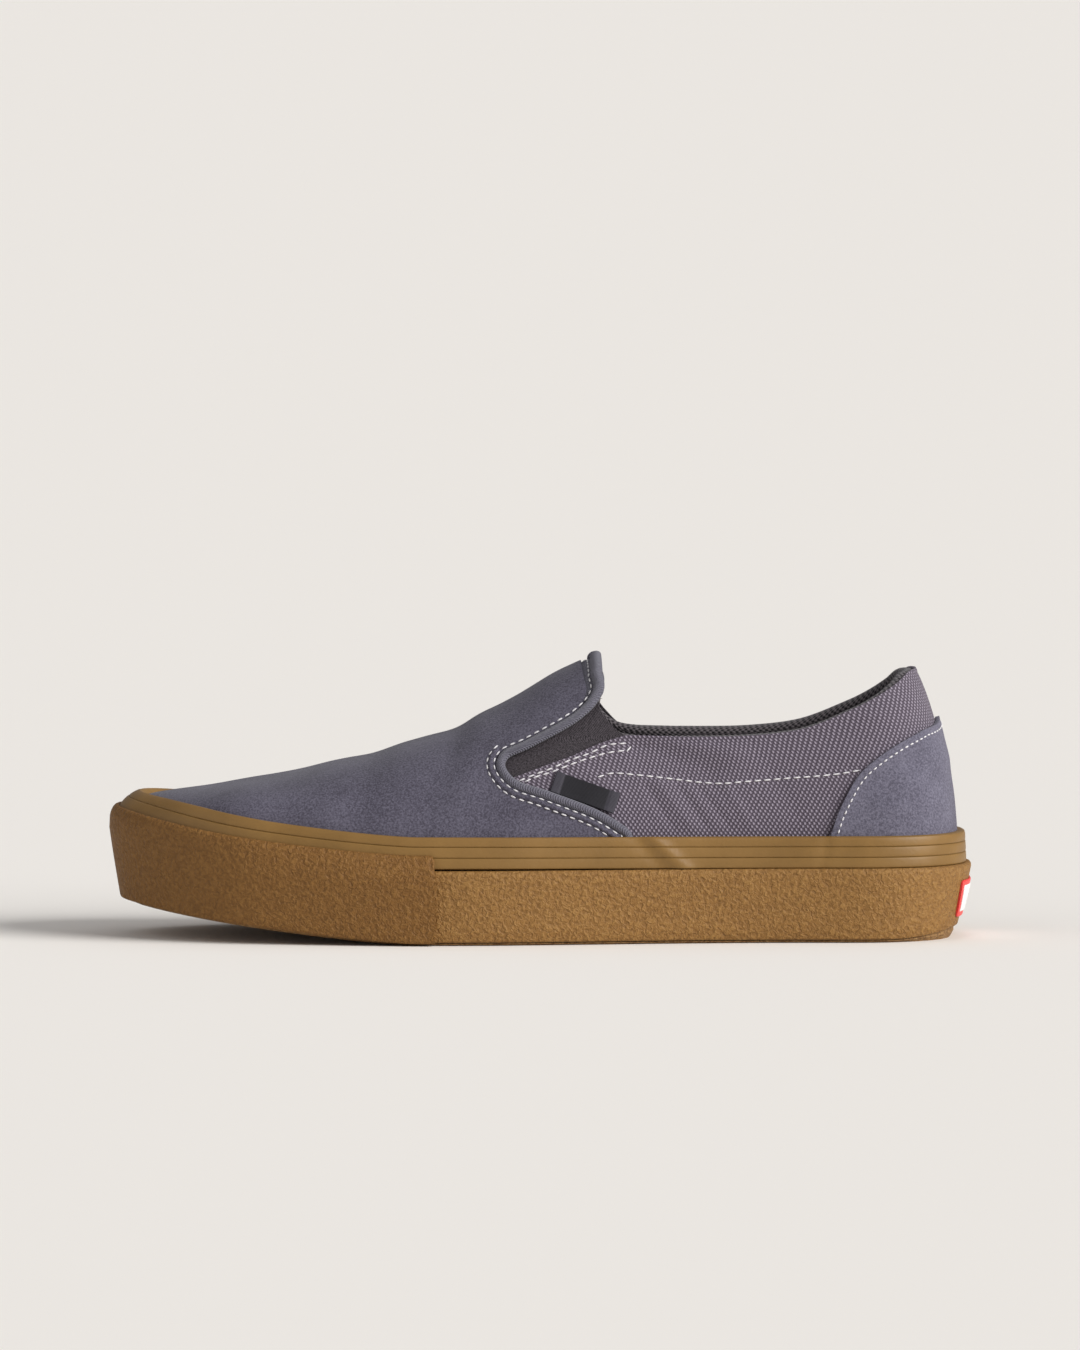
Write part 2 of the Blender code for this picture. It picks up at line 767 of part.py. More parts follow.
def make_vamp(suede):
    """Suede overlay from the toe to the lip."""
    columns = []
    for side in (-1, 1):
        edge = overlay_edge(vamp_edge_rows(), side, VAMP_ROWS)
        edge[-1] = (edge[-1][0], 1.0)
        part = []
        for k in range(TOE_STEPS):
            q = k / TOE_STEPS

            def path(t, q=q, side=side):
                return q, share_u(q, side, t)

            part.append([(a, side, u) for a, u in even_walk(path, side, VAMP_ROWS)])

        start = [(1.0, (u - overlay_foot(1.0, side)) / (1 - overlay_foot(1.0, side)))
                 for q, u in even_walk(lambda t, side=side: (1.0, share_u(1.0, side, t)), side, VAMP_ROWS)]
        for k in range(VAMP_STEPS + 1):
            t = k / VAMP_STEPS
            column = []
            for (q0, s0), (q1, s1) in zip(start, edge):
                q, s = q0 + (q1 - q0) * t, s0 + (s1 - s0) * t
                column.append((q, side, share_u(q, side, s)))
            part.append(column)
        columns += part[::-1] if side < 0 else part[1:]
    wall = shell(columns, lambda c, r: OVERLAY_GAP, lambda c, r: OVERLAY_GAP + SUEDE, lambda c, r: False)
    return finish("vamp", wall, suede)


def counter_edge(side, count):
    return overlay_edge(COUNTER_EDGE, side, count)


COUNTER_ROWS = 9
COUNTER_STEPS = 10


def make_counter(suede):
    """Suede overlay round the heel."""
    columns = []
    for side in (-1, 1):
        edge = counter_edge(side, COUNTER_ROWS)
        top = height_u(3.0, side, raised(LENGTH, COUNTER_BACK))
        part = []
        for k in range(COUNTER_STEPS + 1):
            t = k / COUNTER_STEPS
            column = []
            for r, (q0, s0) in enumerate(edge):
                foot = overlay_foot(3.0, side)
                s1 = (top - foot) / (1 - foot) * r / COUNTER_ROWS
                q, s = q0 + (3.0 - q0) * t, s0 + (s1 - s0) * t
                column.append((q, side, share_u(q, side, s)))
            part.append(column)
        columns += part if side < 0 else part[-2::-1]
    wall = shell(columns, lambda c, r: OVERLAY_GAP, lambda c, r: OVERLAY_GAP + SUEDE, lambda c, r: False)
    return finish("heel_counter", wall, suede)


def slide(q, side, u, shift):
    """Place on the last nearest to a place moved by a short way."""
    target = last_point(q, side, u) + shift
    step = 0.003
    for _ in range(4):
        here = last_point(q, side, u)
        along = (last_point(q + step, side, u) - last_point(q - step, side, u)) / (2 * step)
        rise = (last_point(q, side, u + step) - last_point(q, side, u - step)) / (2 * step)
        move = np.linalg.lstsq(np.stack((along, rise), axis=1), target - here, rcond=None)[0]
        q, u = q + float(move[0]), u + float(move[1])
    return q, u


def make_binding(twill):
    """Rolled strip along the vamp's rear edge and round the lip."""
    edges = {side: overlay_edge(vamp_edge_rows(), side, VAMP_ROWS) for side in (-1, 1)}
    trip = [(q, s, -1) for q, s in edges[-1][:-1]] + [(edges[-1][-1][0], 1.0, -1)]
    trip += [(q, s, 1) for q, s in edges[1][-2::-1]]
    places = [(q, side, share_u(q, side, s)) for q, s, side in trip]
    points = [last_point(*place) for place in places]
    shares = (0.0, 0.25, 0.75, 1.0)
    columns = []
    for k, (q, side, u) in enumerate(places):
        near, far = points[max(k - 1, 0)], points[min(k + 1, len(points) - 1)]
        across = np.cross(far - near, last_normal(q, side, u))
        across /= np.linalg.norm(across)
        lip = smooth((points[k][2] - 76.0) / 8.0)
        width = BINDING_WIDTH + (LIP_BAND - BINDING_WIDTH) * lip
        column = []
        for share in shares:
            a, b = slide(q, side, u, across * (GAP + share * width))
            column.append((a, side, b))
        columns.append(column)
    crown = (0.6, 1.0, 1.0, 0.55)
    wall = shell(columns, lambda c, r: BINDING_LIFT, lambda c, r: BINDING_LIFT + BINDING_THICK * crown[r],
                 lambda c, r: False)
    return finish("vamp_binding", wall, twill)


def make_tag(weave):
    """Plain woven tag that lies on the gore and the quarter beside the binding."""
    x0, up = TAG_CORNER[0] * LENGTH, TAG_CORNER[1]
    z0 = raised(x0, up)
    turn = math.radians(TAG_TURN)
    loops = []
    steps = 5
    for k in range(steps + 1):
        run = TAG_LENGTH * k / steps
        loop = []
        for rise, off in ((0.0, GAP), (0.5, GAP), (1.0, GAP), (1.0, GAP + TAG_THICK), (0.5, GAP + TAG_THICK),
                          (0.0, GAP + TAG_THICK)):
            across = rise * TAG_WIDTH
            x = x0 + run * math.cos(turn) - across * math.sin(turn)
            z = z0 + run * math.sin(turn) + across * math.cos(turn)
            q, u = locate(x, z, -1)
            loop.append(last_point(q, -1, u) + last_normal(q, -1, u) * off)
        loops.append(loop)
    return finish("side_tag", loft(loops, False), weave)


def make_insole(foam):
    rings = []
    for rise in (0.0, 1.0):
        ring = []
        for q, side in round_trip():
            x = ring_point(q, side, reach(q, side), 0)[0] + LENGTH / 2
            level = stack(x) + GAP + rise * INSOLE_THICK
            inset = FOXING_WALL + GAP + max(SHELF * curve(SECTIONS, x / LENGTH, 3),
                                            lean(q) * clamp(1 - stack(x) / FOXING_HEIGHT)) + UPPER_WALL + 2 * GAP
            ring.append(ring_point(q, side, reach(q, side) - inset - 0.5, level))
        rings.append(ring)
    return finish("insole", slab(rings), foam)


def main():
    for thing in list(bpy.data.objects):
        bpy.data.objects.remove(thing, do_unlink=True)
    gum = paint("gum_rubber", (0.36, 0.21, 0.08), 0.55)
    red = paint("red_rubber", (0.75, 0.06, 0.05), 0.45)
    suede = paint("grey_suede", (0.13, 0.13, 0.17), 0.9)
    canvas = paint("grey_canvas", (0.17, 0.15, 0.19), 0.9)
    twill = paint("grey_twill", (0.15, 0.15, 0.20), 0.85)
    dark = paint("dark_weave", (0.02, 0.02, 0.025), 0.8)
    foam = paint("sock_foam", (0.05, 0.05, 0.06), 0.9)

    outsole = make_outsole(gum)
    cutter = groove_cutter(gum)
    cut = outsole.modifiers.new("grooves", "BOOLEAN")
    cut.object = cutter
    cut.operation = "DIFFERENCE"
    make_foxing(gum)
    make_bumper(gum)
    make_tape(gum)
    make_plate(red)
    make_upper(canvas)
    make_vamp(suede)
    make_counter(suede)
    make_binding(twill)
    make_tag(dark)
    make_insole(foam)


main()
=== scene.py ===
"""Looks of the slip-on sneaker, left shoe.

The toe points along -X and the outer side of the foot is at -Y. Sizes are in
millimetres, x counted from the toe's tip, and are turned into metres where a
mesh is made. Each section below is one piece or one group of like pieces.
"""
import math

import bmesh
import bpy
import numpy as np
from mathutils import Matrix, Vector


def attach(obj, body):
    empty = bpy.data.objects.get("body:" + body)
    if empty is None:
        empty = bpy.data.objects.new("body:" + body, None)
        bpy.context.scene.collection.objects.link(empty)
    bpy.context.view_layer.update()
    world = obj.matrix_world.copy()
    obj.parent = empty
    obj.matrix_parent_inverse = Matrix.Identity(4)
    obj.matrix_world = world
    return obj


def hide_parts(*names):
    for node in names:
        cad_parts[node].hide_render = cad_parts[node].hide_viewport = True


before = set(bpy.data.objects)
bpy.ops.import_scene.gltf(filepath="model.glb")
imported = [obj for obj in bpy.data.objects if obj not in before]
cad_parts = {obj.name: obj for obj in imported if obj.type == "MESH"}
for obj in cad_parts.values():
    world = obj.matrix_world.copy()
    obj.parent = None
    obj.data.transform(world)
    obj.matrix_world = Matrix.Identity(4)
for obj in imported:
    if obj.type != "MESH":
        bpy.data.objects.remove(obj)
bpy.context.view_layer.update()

MM = 0.001

# Camera and light. The photograph was taken from the outer side of the shoe,
# three degrees above the floor, with a long lens. The light is a broad soft
# one over the heel and the camera's right shoulder, on a pale floor that
# reaches past the top of the frame.
CAMERA_RISE = math.radians(3.3)
CAMERA_AWAY = 4.0
FRAME_TALL = 0.4536
AIM = Vector((0.0, 0.0, 0.0874))
bpy.ops.object.select_all(action="DESELECT")
bpy.ops.object.camera_add(
    location=AIM + Vector((0.0, -math.cos(CAMERA_RISE), math.sin(CAMERA_RISE))) * CAMERA_AWAY,
    rotation=(math.pi / 2 - CAMERA_RISE, 0.0, 0.0))
camera = bpy.context.object
camera.name = "camera"
camera.data.sensor_width = 36.0
camera.data.lens = camera.data.sensor_width * CAMERA_AWAY / FRAME_TALL
camera.data.clip_end = 2000.0
bpy.context.scene.camera = camera
bpy.context.scene.view_settings.view_transform = "Standard"

SKY = (0.25, 0.25, 0.26)
world = bpy.data.worlds.new("studio")
world.use_nodes = True
world.node_tree.nodes["Background"].inputs["Color"].default_value = (*SKY, 1.0)
bpy.context.scene.world = world


def add_sun(name, towards, strength, spread):
    """Soft light without fall-off that comes from the direction given."""
    bpy.ops.object.light_add(type="SUN")
    sun = bpy.context.object
    sun.name = name
    sun.rotation_euler = Vector(towards).to_track_quat("Z", "Y").to_euler()
    sun.data.energy = strength
    sun.data.angle = math.radians(spread)


add_sun("key", (0.90, -0.52, 0.50), 3.71, 40.0)
add_sun("top_fill", (0.2, 0.3, 1.0), 0.25, 60.0)
add_sun("toe_fill", (-0.85, -0.45, 0.45), 0.55, 70.0)

FLOOR_COLOUR = (0.905, 0.868, 0.815)
bpy.ops.mesh.primitive_plane_add(size=1600.0)
floor = bpy.context.object
floor.name = "floor"
paper = bpy.data.materials.new("floor")
paper.use_nodes = True
matt = paper.node_tree.nodes["Principled BSDF"].inputs
matt["Base Color"].default_value = (*FLOOR_COLOUR, 1.0)
matt["Roughness"].default_value = 1.0
matt["Specular IOR Level"].default_value = 0.0
floor.data.materials.append(paper)

# Outsole. One slab of gum rubber with toe spring and cross grooves, moulded
# and then glued inside the wall. It stays as the solid and gets its rubber here,
# with the sizes of the last that every later piece is laid on.
LENGTH = 290.0
BALL_WIDTH = 104.0
HEEL_WIDTH = 79.0
INSTEP_HEIGHT = 94.0
TOE_SPRING = 12.6
TOE_SWING = 5.0
RIDGE_SWING = 4.0
FOREFOOT_STACK = 13.0
HEEL_STACK = 17.0
FOXING_HEIGHT = 25.0
FOXING_WALL = 3.6
FOXING_LEAN = 2.4
TOE_LEAN = 1.6
HEEL_LEAN = 3.8
TAPE_HEIGHT = 10.5
BUMPER_WALL = 1.7
SHELF = 2.0
GAP = 0.3
TOE_CENTRE = 0.19 * LENGTH
HEEL_CENTRE = 0.862 * LENGTH
TOE_SQUARE = 2.4
HEEL_SQUARE = 2.3
# Shares of the length: reach of the toe spring, start and run of the change
# from forefoot to heel in thickness and in width
SPRING_REACH = 0.355
STACK_START, STACK_RUN = 0.35, 0.4
WAIST_START, WAIST_RUN = 0.37, 0.43

# Half widths of the sole as shares of its width, along = share of the length
WIDTHS = [
    # along, outer, inner
    (0.00, 0.300, 0.390),
    (0.10, 0.385, 0.440),
    (0.20, 0.445, 0.478),
    (0.28, 0.482, 0.497),
    (0.36, 0.503, 0.500),
    (0.44, 0.510, 0.470),
    (0.52, 0.505, 0.436),
    (0.60, 0.502, 0.428),
    (0.68, 0.500, 0.452),
    (0.76, 0.500, 0.485),
    (0.86, 0.500, 0.500),
    (1.00, 0.500, 0.500),
]

# Ridge of the last, up = share of the height from the tape's top to the instep
RIDGE = [
    # along, up
    (0.000, 0.015),
    (0.050, 0.030),
    (0.110, 0.082),
    (0.166, 0.162),
    (0.221, 0.246),
    (0.276, 0.340),
    (0.334, 0.438),
    (0.390, 0.537),
    (0.431, 0.624),
    (0.472, 0.738),
    (0.514, 0.862),
    (0.541, 0.925),
    (0.561, 0.968),
    (0.610, 1.060),
    (0.680, 1.150),
    (0.760, 1.200),
    (0.862, 1.200),
    (1.000, 1.170),
]

# Roundness of the sections: side and crown are powers of the cosine and sine
# of the angle up the section, shelf is the share of SHELF inside the wall
SECTIONS = [
    # along, side, crown, shelf
    (0.00, 0.50, 0.30, 0.10),
    (0.12, 0.54, 0.38, 0.20),
    (0.25, 0.66, 0.60, 0.40),
    (0.38, 0.80, 0.80, 0.50),
    (0.50, 0.92, 0.96, 0.50),
    (0.65, 0.92, 1.00, 0.60),
    (0.80, 0.86, 1.00, 0.80),
    (1.00, 0.83, 1.00, 1.00),
]


def curve(rows, at, column=1):
    """Smooth curve through a column of a table whose first column rises."""
    table = np.array(rows, float)
    keys, values = table[:, 0], table[:, column]
    at = np.clip(at, keys[0], keys[-1])
    k = np.clip(np.searchsorted(keys, at, side="right") - 1, 0, len(keys) - 2)
    number = np.arange(len(keys))
    low, high = np.maximum(number - 1, 0), np.minimum(number + 1, len(keys) - 1)
    slope = (values[high] - values[low]) / (keys[high] - keys[low])
    span = keys[k + 1] - keys[k]
    t = (at - keys[k]) / span
    start, end, rise = slope[k] * span, slope[k + 1] * span, values[k + 1] - values[k]
    return (values[k] + t * start + t * t * (3 * rise - 2 * start - end)
            + t ** 3 * (start + end - 2 * rise))


def smooth(value):
    t = np.clip(value, 0.0, 1.0)
    return t * t * (3 - 2 * t)


def ground(x):
    """Height of the sole's underside above the floor."""
    reach_back = SPRING_REACH * LENGTH
    return TOE_SPRING * np.clip((reach_back - x) / reach_back, 0.0, 1.0) ** 1.3


def stack(x):
    return FOREFOOT_STACK + (HEEL_STACK - FOREFOOT_STACK) * smooth((x / LENGTH - STACK_START) / STACK_RUN)


def raised(x, up):
    """Height of a share of the way from the tape's top to the instep."""
    top = FOXING_HEIGHT + TAPE_HEIGHT
    return ground(x) + top + up * (INSTEP_HEIGHT - top)


def swing(x):
    """Sideways shift of the toe towards the inner side of the foot."""
    return TOE_SWING * np.clip((TOE_CENTRE - x) / TOE_CENTRE, 0.0, 1.0) ** 2


def half_width(x, side):
    along = x / LENGTH
    width = BALL_WIDTH + (HEEL_WIDTH - BALL_WIDTH) * smooth((along - WAIST_START) / WAIST_RUN)
    half = width * np.where(side < 0, curve(WIDTHS, along, 1), curve(WIDTHS, along, 2))
    toe = np.clip((TOE_CENTRE - x) / (TOE_CENTRE - BUMPER_WALL - GAP), 0.0, 1.0)
    heel = np.clip((x - HEEL_CENTRE) / (LENGTH - HEEL_CENTRE), 0.0, 1.0)
    toe, heel = (1 - toe ** TOE_SQUARE) ** (1 / TOE_SQUARE), (1 - heel ** HEEL_SQUARE) ** (1 / HEEL_SQUARE)
    return half * toe * heel


def ray(q):
    """Centre on the shoe's middle line and direction of one station, q from 0 at
    the toe to 3 at the heel: a fan to 1, straight across to 2, then a fan."""
    toe, heel = np.clip(q, 0, 1) * math.pi / 2, (3 - np.clip(q, 2, 3)) * math.pi / 2
    centre = TOE_CENTRE + np.clip(q - 1, 0, 1) * (HEEL_CENTRE - TOE_CENTRE)
    along = np.where(q < 1, -np.cos(toe), np.where(q > 2, np.cos(heel), 0.0))
    across = np.where(q < 1, np.sin(toe), np.where(q > 2, np.sin(heel), 1.0))
    return centre, along, across


def halve(low, high, times, below):
    """Narrows ranges by halves round the places where below turns false."""
    for _ in range(times):
        middle = (low + high) / 2
        under = below(middle)
        low, high = np.where(under, middle, low), np.where(under, high, middle)
    return low, high


def ray_length(q, side):
    """Length of a station's ray from the centre to the wall's widest line."""
    centre, along, across = ray(q)

    def inside(length):
        x = centre + length * along
        return (length * across < half_width(x, side)) & (x > BUMPER_WALL + GAP) & (x < LENGTH)

    return halve(np.zeros_like(q), np.full_like(q, LENGTH), 40, inside)[0]


STATIONS = np.linspace(0.0, 3.0, 1801)
OUTER_REACH, INNER_REACH = ray_length(STATIONS, -1), ray_length(STATIONS, 1)


def reach(q, side):
    outer, inner = np.interp(q, STATIONS, OUTER_REACH), np.interp(q, STATIONS, INNER_REACH)
    return np.where(side < 0, outer, inner)


def wall_radius(q, side, level):
    """Ray length to the foxing's outer face, level above the sole's underside."""
    toe, heel = np.clip(1 - q, 0, 1) ** 1.5, np.clip(q - 2, 0, 1) ** 1.5
    lean = FOXING_LEAN + toe * TOE_LEAN + heel * HEEL_LEAN
    down = np.clip((FOXING_HEIGHT - 1 - level) / (FOXING_HEIGHT - 1), 0.0, 1.0)
    return reach(q, side) - lean * down ** 1.1


def ring_point(q, side, radius, level):
    """Point at a distance along a station's ray and a level above the underside."""
    centre, along, across = ray(q)
    x = centre + radius * along
    y, z = side * radius * across + swing(x), ground(x) + level
    return np.stack(np.broadcast_arrays(x - LENGTH / 2, y, z), axis=-1)


def node(material, kind, inputs=(), **settings):
    """One node of a material; an input's value may be another node's output."""
    made = material.node_tree.nodes.new(kind)
    for key, value in settings.items():
        setattr(made, key, value)
    for socket, value in inputs:
        if isinstance(value, bpy.types.NodeSocket):
            material.node_tree.links.new(value, made.inputs[socket])
        else:
            made.inputs[socket].default_value = value
    return made


def own_space(material):
    """Place in the piece's own space, in metres."""
    return node(material, "ShaderNodeTexCoord").outputs["Object"]


def flat_map(material):
    """Place on the piece's UV map, in millimetres."""
    return node(material, "ShaderNodeUVMap", uv_map="UVMap").outputs["UV"]


def noise(material, vector, scale, detail, roughness=0.5, distortion=0.0):
    """Share from 0 to 1 that drifts like a cloud, finer with a larger scale."""
    inputs = [("Vector", vector), ("Scale", scale), ("Detail", detail), ("Roughness", roughness),
              ("Distortion", distortion)]
    return node(material, "ShaderNodeTexNoise", inputs).outputs["Fac"]


def maths(material, operation, *values):
    """Outcome of a sum on values, each a number or another node's output."""
    return node(material, "ShaderNodeMath", enumerate(values), operation=operation).outputs[0]


def ramp(material, shader, factor, stops):
    """Colours the shader along a factor, each stop a place from 0 to 1 and a colour."""
    made = node(material, "ShaderNodeValToRGB", [("Fac", factor)])
    line = made.color_ramp
    line.elements[0].position, line.elements[1].position = stops[0][0], stops[-1][0]
    for place, _ in stops[1:-1]:
        line.elements.new(place)
    for element, (_, colour) in zip(line.elements, stops):
        element.color = (*colour, 1.0)
    material.node_tree.links.new(made.outputs["Color"], shader.inputs["Base Color"])


def bump(material, shader, height, distance, strength):
    """Raises the shader's surface with a factor, distance in metres."""
    inputs = [("Height", height), ("Distance", distance), ("Strength", strength)]
    made = node(material, "ShaderNodeBump", inputs)
    material.node_tree.links.new(made.outputs["Normal"], shader.inputs["Normal"])


def new_finish(name, roughness, specular=0.5):
    material = bpy.data.materials.new(name)
    material.use_nodes = True
    shader = material.node_tree.nodes["Principled BSDF"]
    shader.inputs["Roughness"].default_value = roughness
    shader.inputs["Specular IOR Level"].default_value = specular
    return material, shader


def pebble_rubber(name, hollow, face, crest):
    """Gum rubber moulded with a fine pebble grain, about a millimetre a grain."""
    material, shader = new_finish(name, 0.62, 0.28)
    spot = own_space(material)
    grain = noise(material, spot, 760.0, 2.0, 0.5, 0.6)
    cloud = noise(material, spot, 55.0, 2.0)
    both = maths(material, "MULTIPLY_ADD", cloud, 0.12, grain)
    ramp(material, shader, both, [(0.40, hollow), (0.56, face), (0.74, crest)])
    bump(material, shader, grain, 0.0014, 0.7)
    return material


outsole_rubber = pebble_rubber(
    "outsole_rubber", (0.15, 0.075, 0.025), (0.25, 0.135, 0.048), (0.31, 0.18, 0.07))
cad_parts["outsole"].data.materials.clear()
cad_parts["outsole"].data.materials.append(outsole_rubber)

# Foxing. A gum rubber wall, extruded with a pebble grain, wrapped round the
# slab and glued, its top edge rolled over a little. It leans in to its foot.
EDGE_HEIGHT = 0.8
HEEL_STEP = 2.8
AROUND = 560


def select_only(*pieces):
    """Selects the pieces and nothing else, the first one active."""
    bpy.ops.object.select_all(action="DESELECT")
    for piece in pieces:
        piece.select_set(True)
    bpy.context.view_layer.objects.active = pieces[0]


def grid_piece(name, points):
    """Piece made of a grid whose corners lie at the points (column, row), with a
    UV map in millimetres: along the columns from the middle one, and up them."""
    columns, rows = points.shape[0] - 1, points.shape[1] - 1
    bpy.ops.object.select_all(action="DESELECT")
    bpy.ops.mesh.primitive_grid_add(x_subdivisions=columns, y_subdivisions=rows, size=1.0)
    piece = bpy.context.object
    piece.name = piece.data.name = name
    mesh = piece.data
    start = np.empty(3 * len(mesh.vertices))
    mesh.vertices.foreach_get("co", start)
    column, row = np.rint((start.reshape(-1, 3)[:, :2] + 0.5) * (columns, rows)).astype(int).T
    mesh.vertices.foreach_set("co", (points[column, row] * MM).ravel())
    along = np.zeros(points.shape[:2])
    along[1:] = np.cumsum(np.linalg.norm(np.diff(points, axis=0), axis=2), axis=0)
    along -= along[columns // 2]
    up = np.zeros(points.shape[:2])
    up[:, 1:] = np.cumsum(np.linalg.norm(np.diff(points, axis=1), axis=2), axis=1)
    corner = np.empty(len(mesh.loops), int)
    mesh.loops.foreach_get("vertex_index", corner)
    flat = np.stack((along[column, row], up[column, row]), axis=1)[corner]
    mesh.uv_layers.active.data.foreach_set("uv", flat.ravel())
    mesh.update()
    return piece


def weld(piece, close_ends=False):
    """Merges the seam, fills open ends if asked and turns the faces outwards."""
    body = bmesh.new()
    body.from_mesh(piece.data)
    bmesh.ops.remove_doubles(body, verts=body.verts, dist=2e-6)
    if close_ends:
        bmesh.ops.holes_fill(body, edges=[edge for edge in body.edges if edge.is_boundary])
    bmesh.ops.recalc_face_normals(body, faces=body.faces)
    body.to_mesh(piece.data)
    body.free()


def finish_piece(piece, material, slot, *nodes, sharp=40.0):
    """Shades the piece, gives it its material and sets it in the frame."""
    select_only(piece)
    bpy.ops.object.shade_smooth_by_angle(angle=math.radians(sharp))
    piece.data.materials.clear()
    piece.data.materials.append(material)
    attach(piece, "root")
    if nodes:
        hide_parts(*nodes)


def round_trip(count):
    """Stations and sides once round the shoe, the outer side first, closed."""
    lap = np.linspace(0.0, 6.0, count + 1)
    return np.where(lap > 3, 6 - lap, lap), np.where(lap > 3, 1, -1)


def foxing_foot(q):
    return EDGE_HEIGHT + GAP + HEEL_STEP * smooth((q - 2.2) / 0.6)


# Wall profile from the foot up and over, level = share of the height, inward in mm
WALL_PROFILE = [
    # level, inward
    (0.000, 1.40), (0.000, 0.55), (0.012, 0.20), (0.035, 0.00), (0.20, 0.00), (0.40, 0.00),
    (0.60, 0.00), (0.80, 0.00), (0.93, 0.00), (0.965, 0.12), (0.99, 0.45), (1.000, 0.95),
    (1.000, FOXING_WALL), (0.50, FOXING_WALL), (0.000, FOXING_WALL),
]
q, side = round_trip(AROUND)
foot = foxing_foot(q)
rows = []
for share, inward in WALL_PROFILE + WALL_PROFILE[:1]:
    level = foot + share * (FOXING_HEIGHT - foot)
    rows.append(ring_point(q, side, wall_radius(q, side, level) - inward, level))
foxing = grid_piece("foxing_wall", np.stack(rows, axis=1))
weld(foxing)
foxing_rubber = pebble_rubber(
    "foxing_rubber", (0.205, 0.100, 0.026), (0.248, 0.124, 0.033), (0.300, 0.158, 0.045))
finish_piece(foxing, foxing_rubber, "gum_rubber", "foxing")

# Toe bumper. A second strip of the same rubber, laid over the foxing round the
# toe and up over the tape's lowest rib, cut square behind the ball of the foot.
BUMPER_HEIGHT = 29.3
BUMPER_END = 110.0
BUMPER_CORNER = 1.6
BUMPER_STEPS = 260
TAPE_WALL = 3.3
RIB_RELIEF = 0.7
# Section of the strip: (level, inward) up its face, (below the edge, proud of
# the tape) over its top and (level, outward of the foxing) down its back, in mm
BUMPER_FACE = [(0.85, 0.90), (0.85, 0.40), (1.1, 0.12), (1.6, 0.0), (5.0, 0.0), (10.0, 0.0),
               (15.0, 0.0), (20.0, 0.0), (FOXING_HEIGHT - 1.5, 0.0)]
BUMPER_TOP = [(2.6, 2.05), (1.6, 2.0), (0.9, 1.85), (0.4, 1.5), (0.1, 1.05), (0.0, 0.6), (0.0, 0.1)]
BUMPER_BACK = [(FOXING_HEIGHT - 1.5, 0.1), (10.0, 0.1), (0.85, 0.1)]


def run_along(points):
    """Distance of each point of a line from its first one."""
    return np.concatenate(([0.0], np.cumsum(np.linalg.norm(np.diff(points, axis=0), axis=1))))


def last_point(q, side, u):
    """Point of the last's surface, u from the feather line to the ridge; past
    either end or over the ridge it goes on down the other side."""
    q, side, u = np.broadcast_arrays(np.asarray(q, float), side, np.asarray(u, float))
    crossed = (u > 1) ^ (q < 0) ^ (q > 3)
    side = np.where(crossed, -side, side)
    u = np.clip(np.where(u > 1, 2 - u, u), 0.0, 1.0)
    q = np.where(q < 0, -q, np.where(q > 3, 6 - q, q))
    centre, along, across = ray(q)
    full = reach(q, side)
    place = (centre + full * along) / LENGTH
    inset = FOXING_WALL + GAP + SHELF * curve(SECTIONS, place, 3)
    out = np.clip(np.cos(u * math.pi / 2), 1e-9, 1.0) ** curve(SECTIONS, place, 1)
    rise = np.sin(u * math.pi / 2) ** curve(SECTIONS, place, 2)
    radius = (full - inset) * out
    x = centre + radius * along
    base = ground(x) + stack(x) + 3 * GAP
    z = base + (raised(x, curve(RIDGE, x / LENGTH)) - base) * rise
    level = z - ground(x)
    inside = wall_radius(q, side, level) - FOXING_WALL - GAP
    radius = np.where(level < FOXING_HEIGHT, np.minimum(radius, inside), radius)
    x = centre + radius * along
    top = RIDGE_SWING * rise * smooth((x / LENGTH - 0.15) / 0.3) * smooth((0.75 - x / LENGTH) / 0.2)
    return np.stack((x - LENGTH / 2, side * radius * across + swing(x) + top, z), axis=-1)


def last_normal(q, side, u):
    """Outward direction of the last's surface."""
    step = 0.004
    q = np.where((np.asarray(q) < 1.0) & (np.asarray(u) > 0.985), 1.0, q)
    go = last_point(q + step, side, u) - last_point(q - step, side, u)
    climb = last_point(q, side, u + step) - last_point(q, side, u - step)
    normal = np.cross(climb, go) * np.asarray(side)[..., None]
    return normal / np.linalg.norm(normal, axis=-1, keepdims=True)


def height_u(q, side, height):
    """Place up a section that lies at a height."""
    low, high = halve(np.zeros(np.shape(q)), np.ones(np.shape(q)), 32,
                      lambda u: last_point(q, side, u)[..., 2] < height)
    return (low + high) / 2


def climb_table(side):
    """Places up each station's section, one for each half millimetre past the foxing."""
    table = []
    for q in TAPE_STATIONS:
        x = ray(q)[0] + reach(q, side) * ray(q)[1]
        start = height_u(q, side, ground(x) + FOXING_HEIGHT)
        places = start + (1 - start) * np.linspace(0, 1, 161) ** 1.5
        points = last_point(q, side, places)
        run = run_along(points)
        table.append(np.interp(CLIMBS, run, places))
    return np.array(table)


CLIMBS = np.arange(0.0, 14.1, 0.5)
TAPE_STATIONS = np.linspace(0.0, 3.0, 241)
CLIMB_PLACES = {-1: climb_table(-1), 1: climb_table(1)}


def tape_u(q, side, climb):
    """Place up the section that lies a distance up the surface from the foxing's top."""
    q, side, climb = np.broadcast_arrays(np.asarray(q, float), side, np.asarray(climb, float))
    over = np.clip(q / 3 * (len(TAPE_STATIONS) - 1), 0, len(TAPE_STATIONS) - 1.001)
    up = np.clip(climb / CLIMBS[1], 0, len(CLIMBS) - 1.001)
    i, j = over.astype(int), up.astype(int)
    a, b = over - i, up - j
    found = []
    for table in (CLIMB_PLACES[-1], CLIMB_PLACES[1]):
        near = table[i, j] * (1 - b) + table[i, j + 1] * b
        far = table[i + 1, j] * (1 - b) + table[i + 1, j + 1] * b
        found.append(near * (1 - a) + far * a)
    return np.where(side < 0, found[0], found[1])


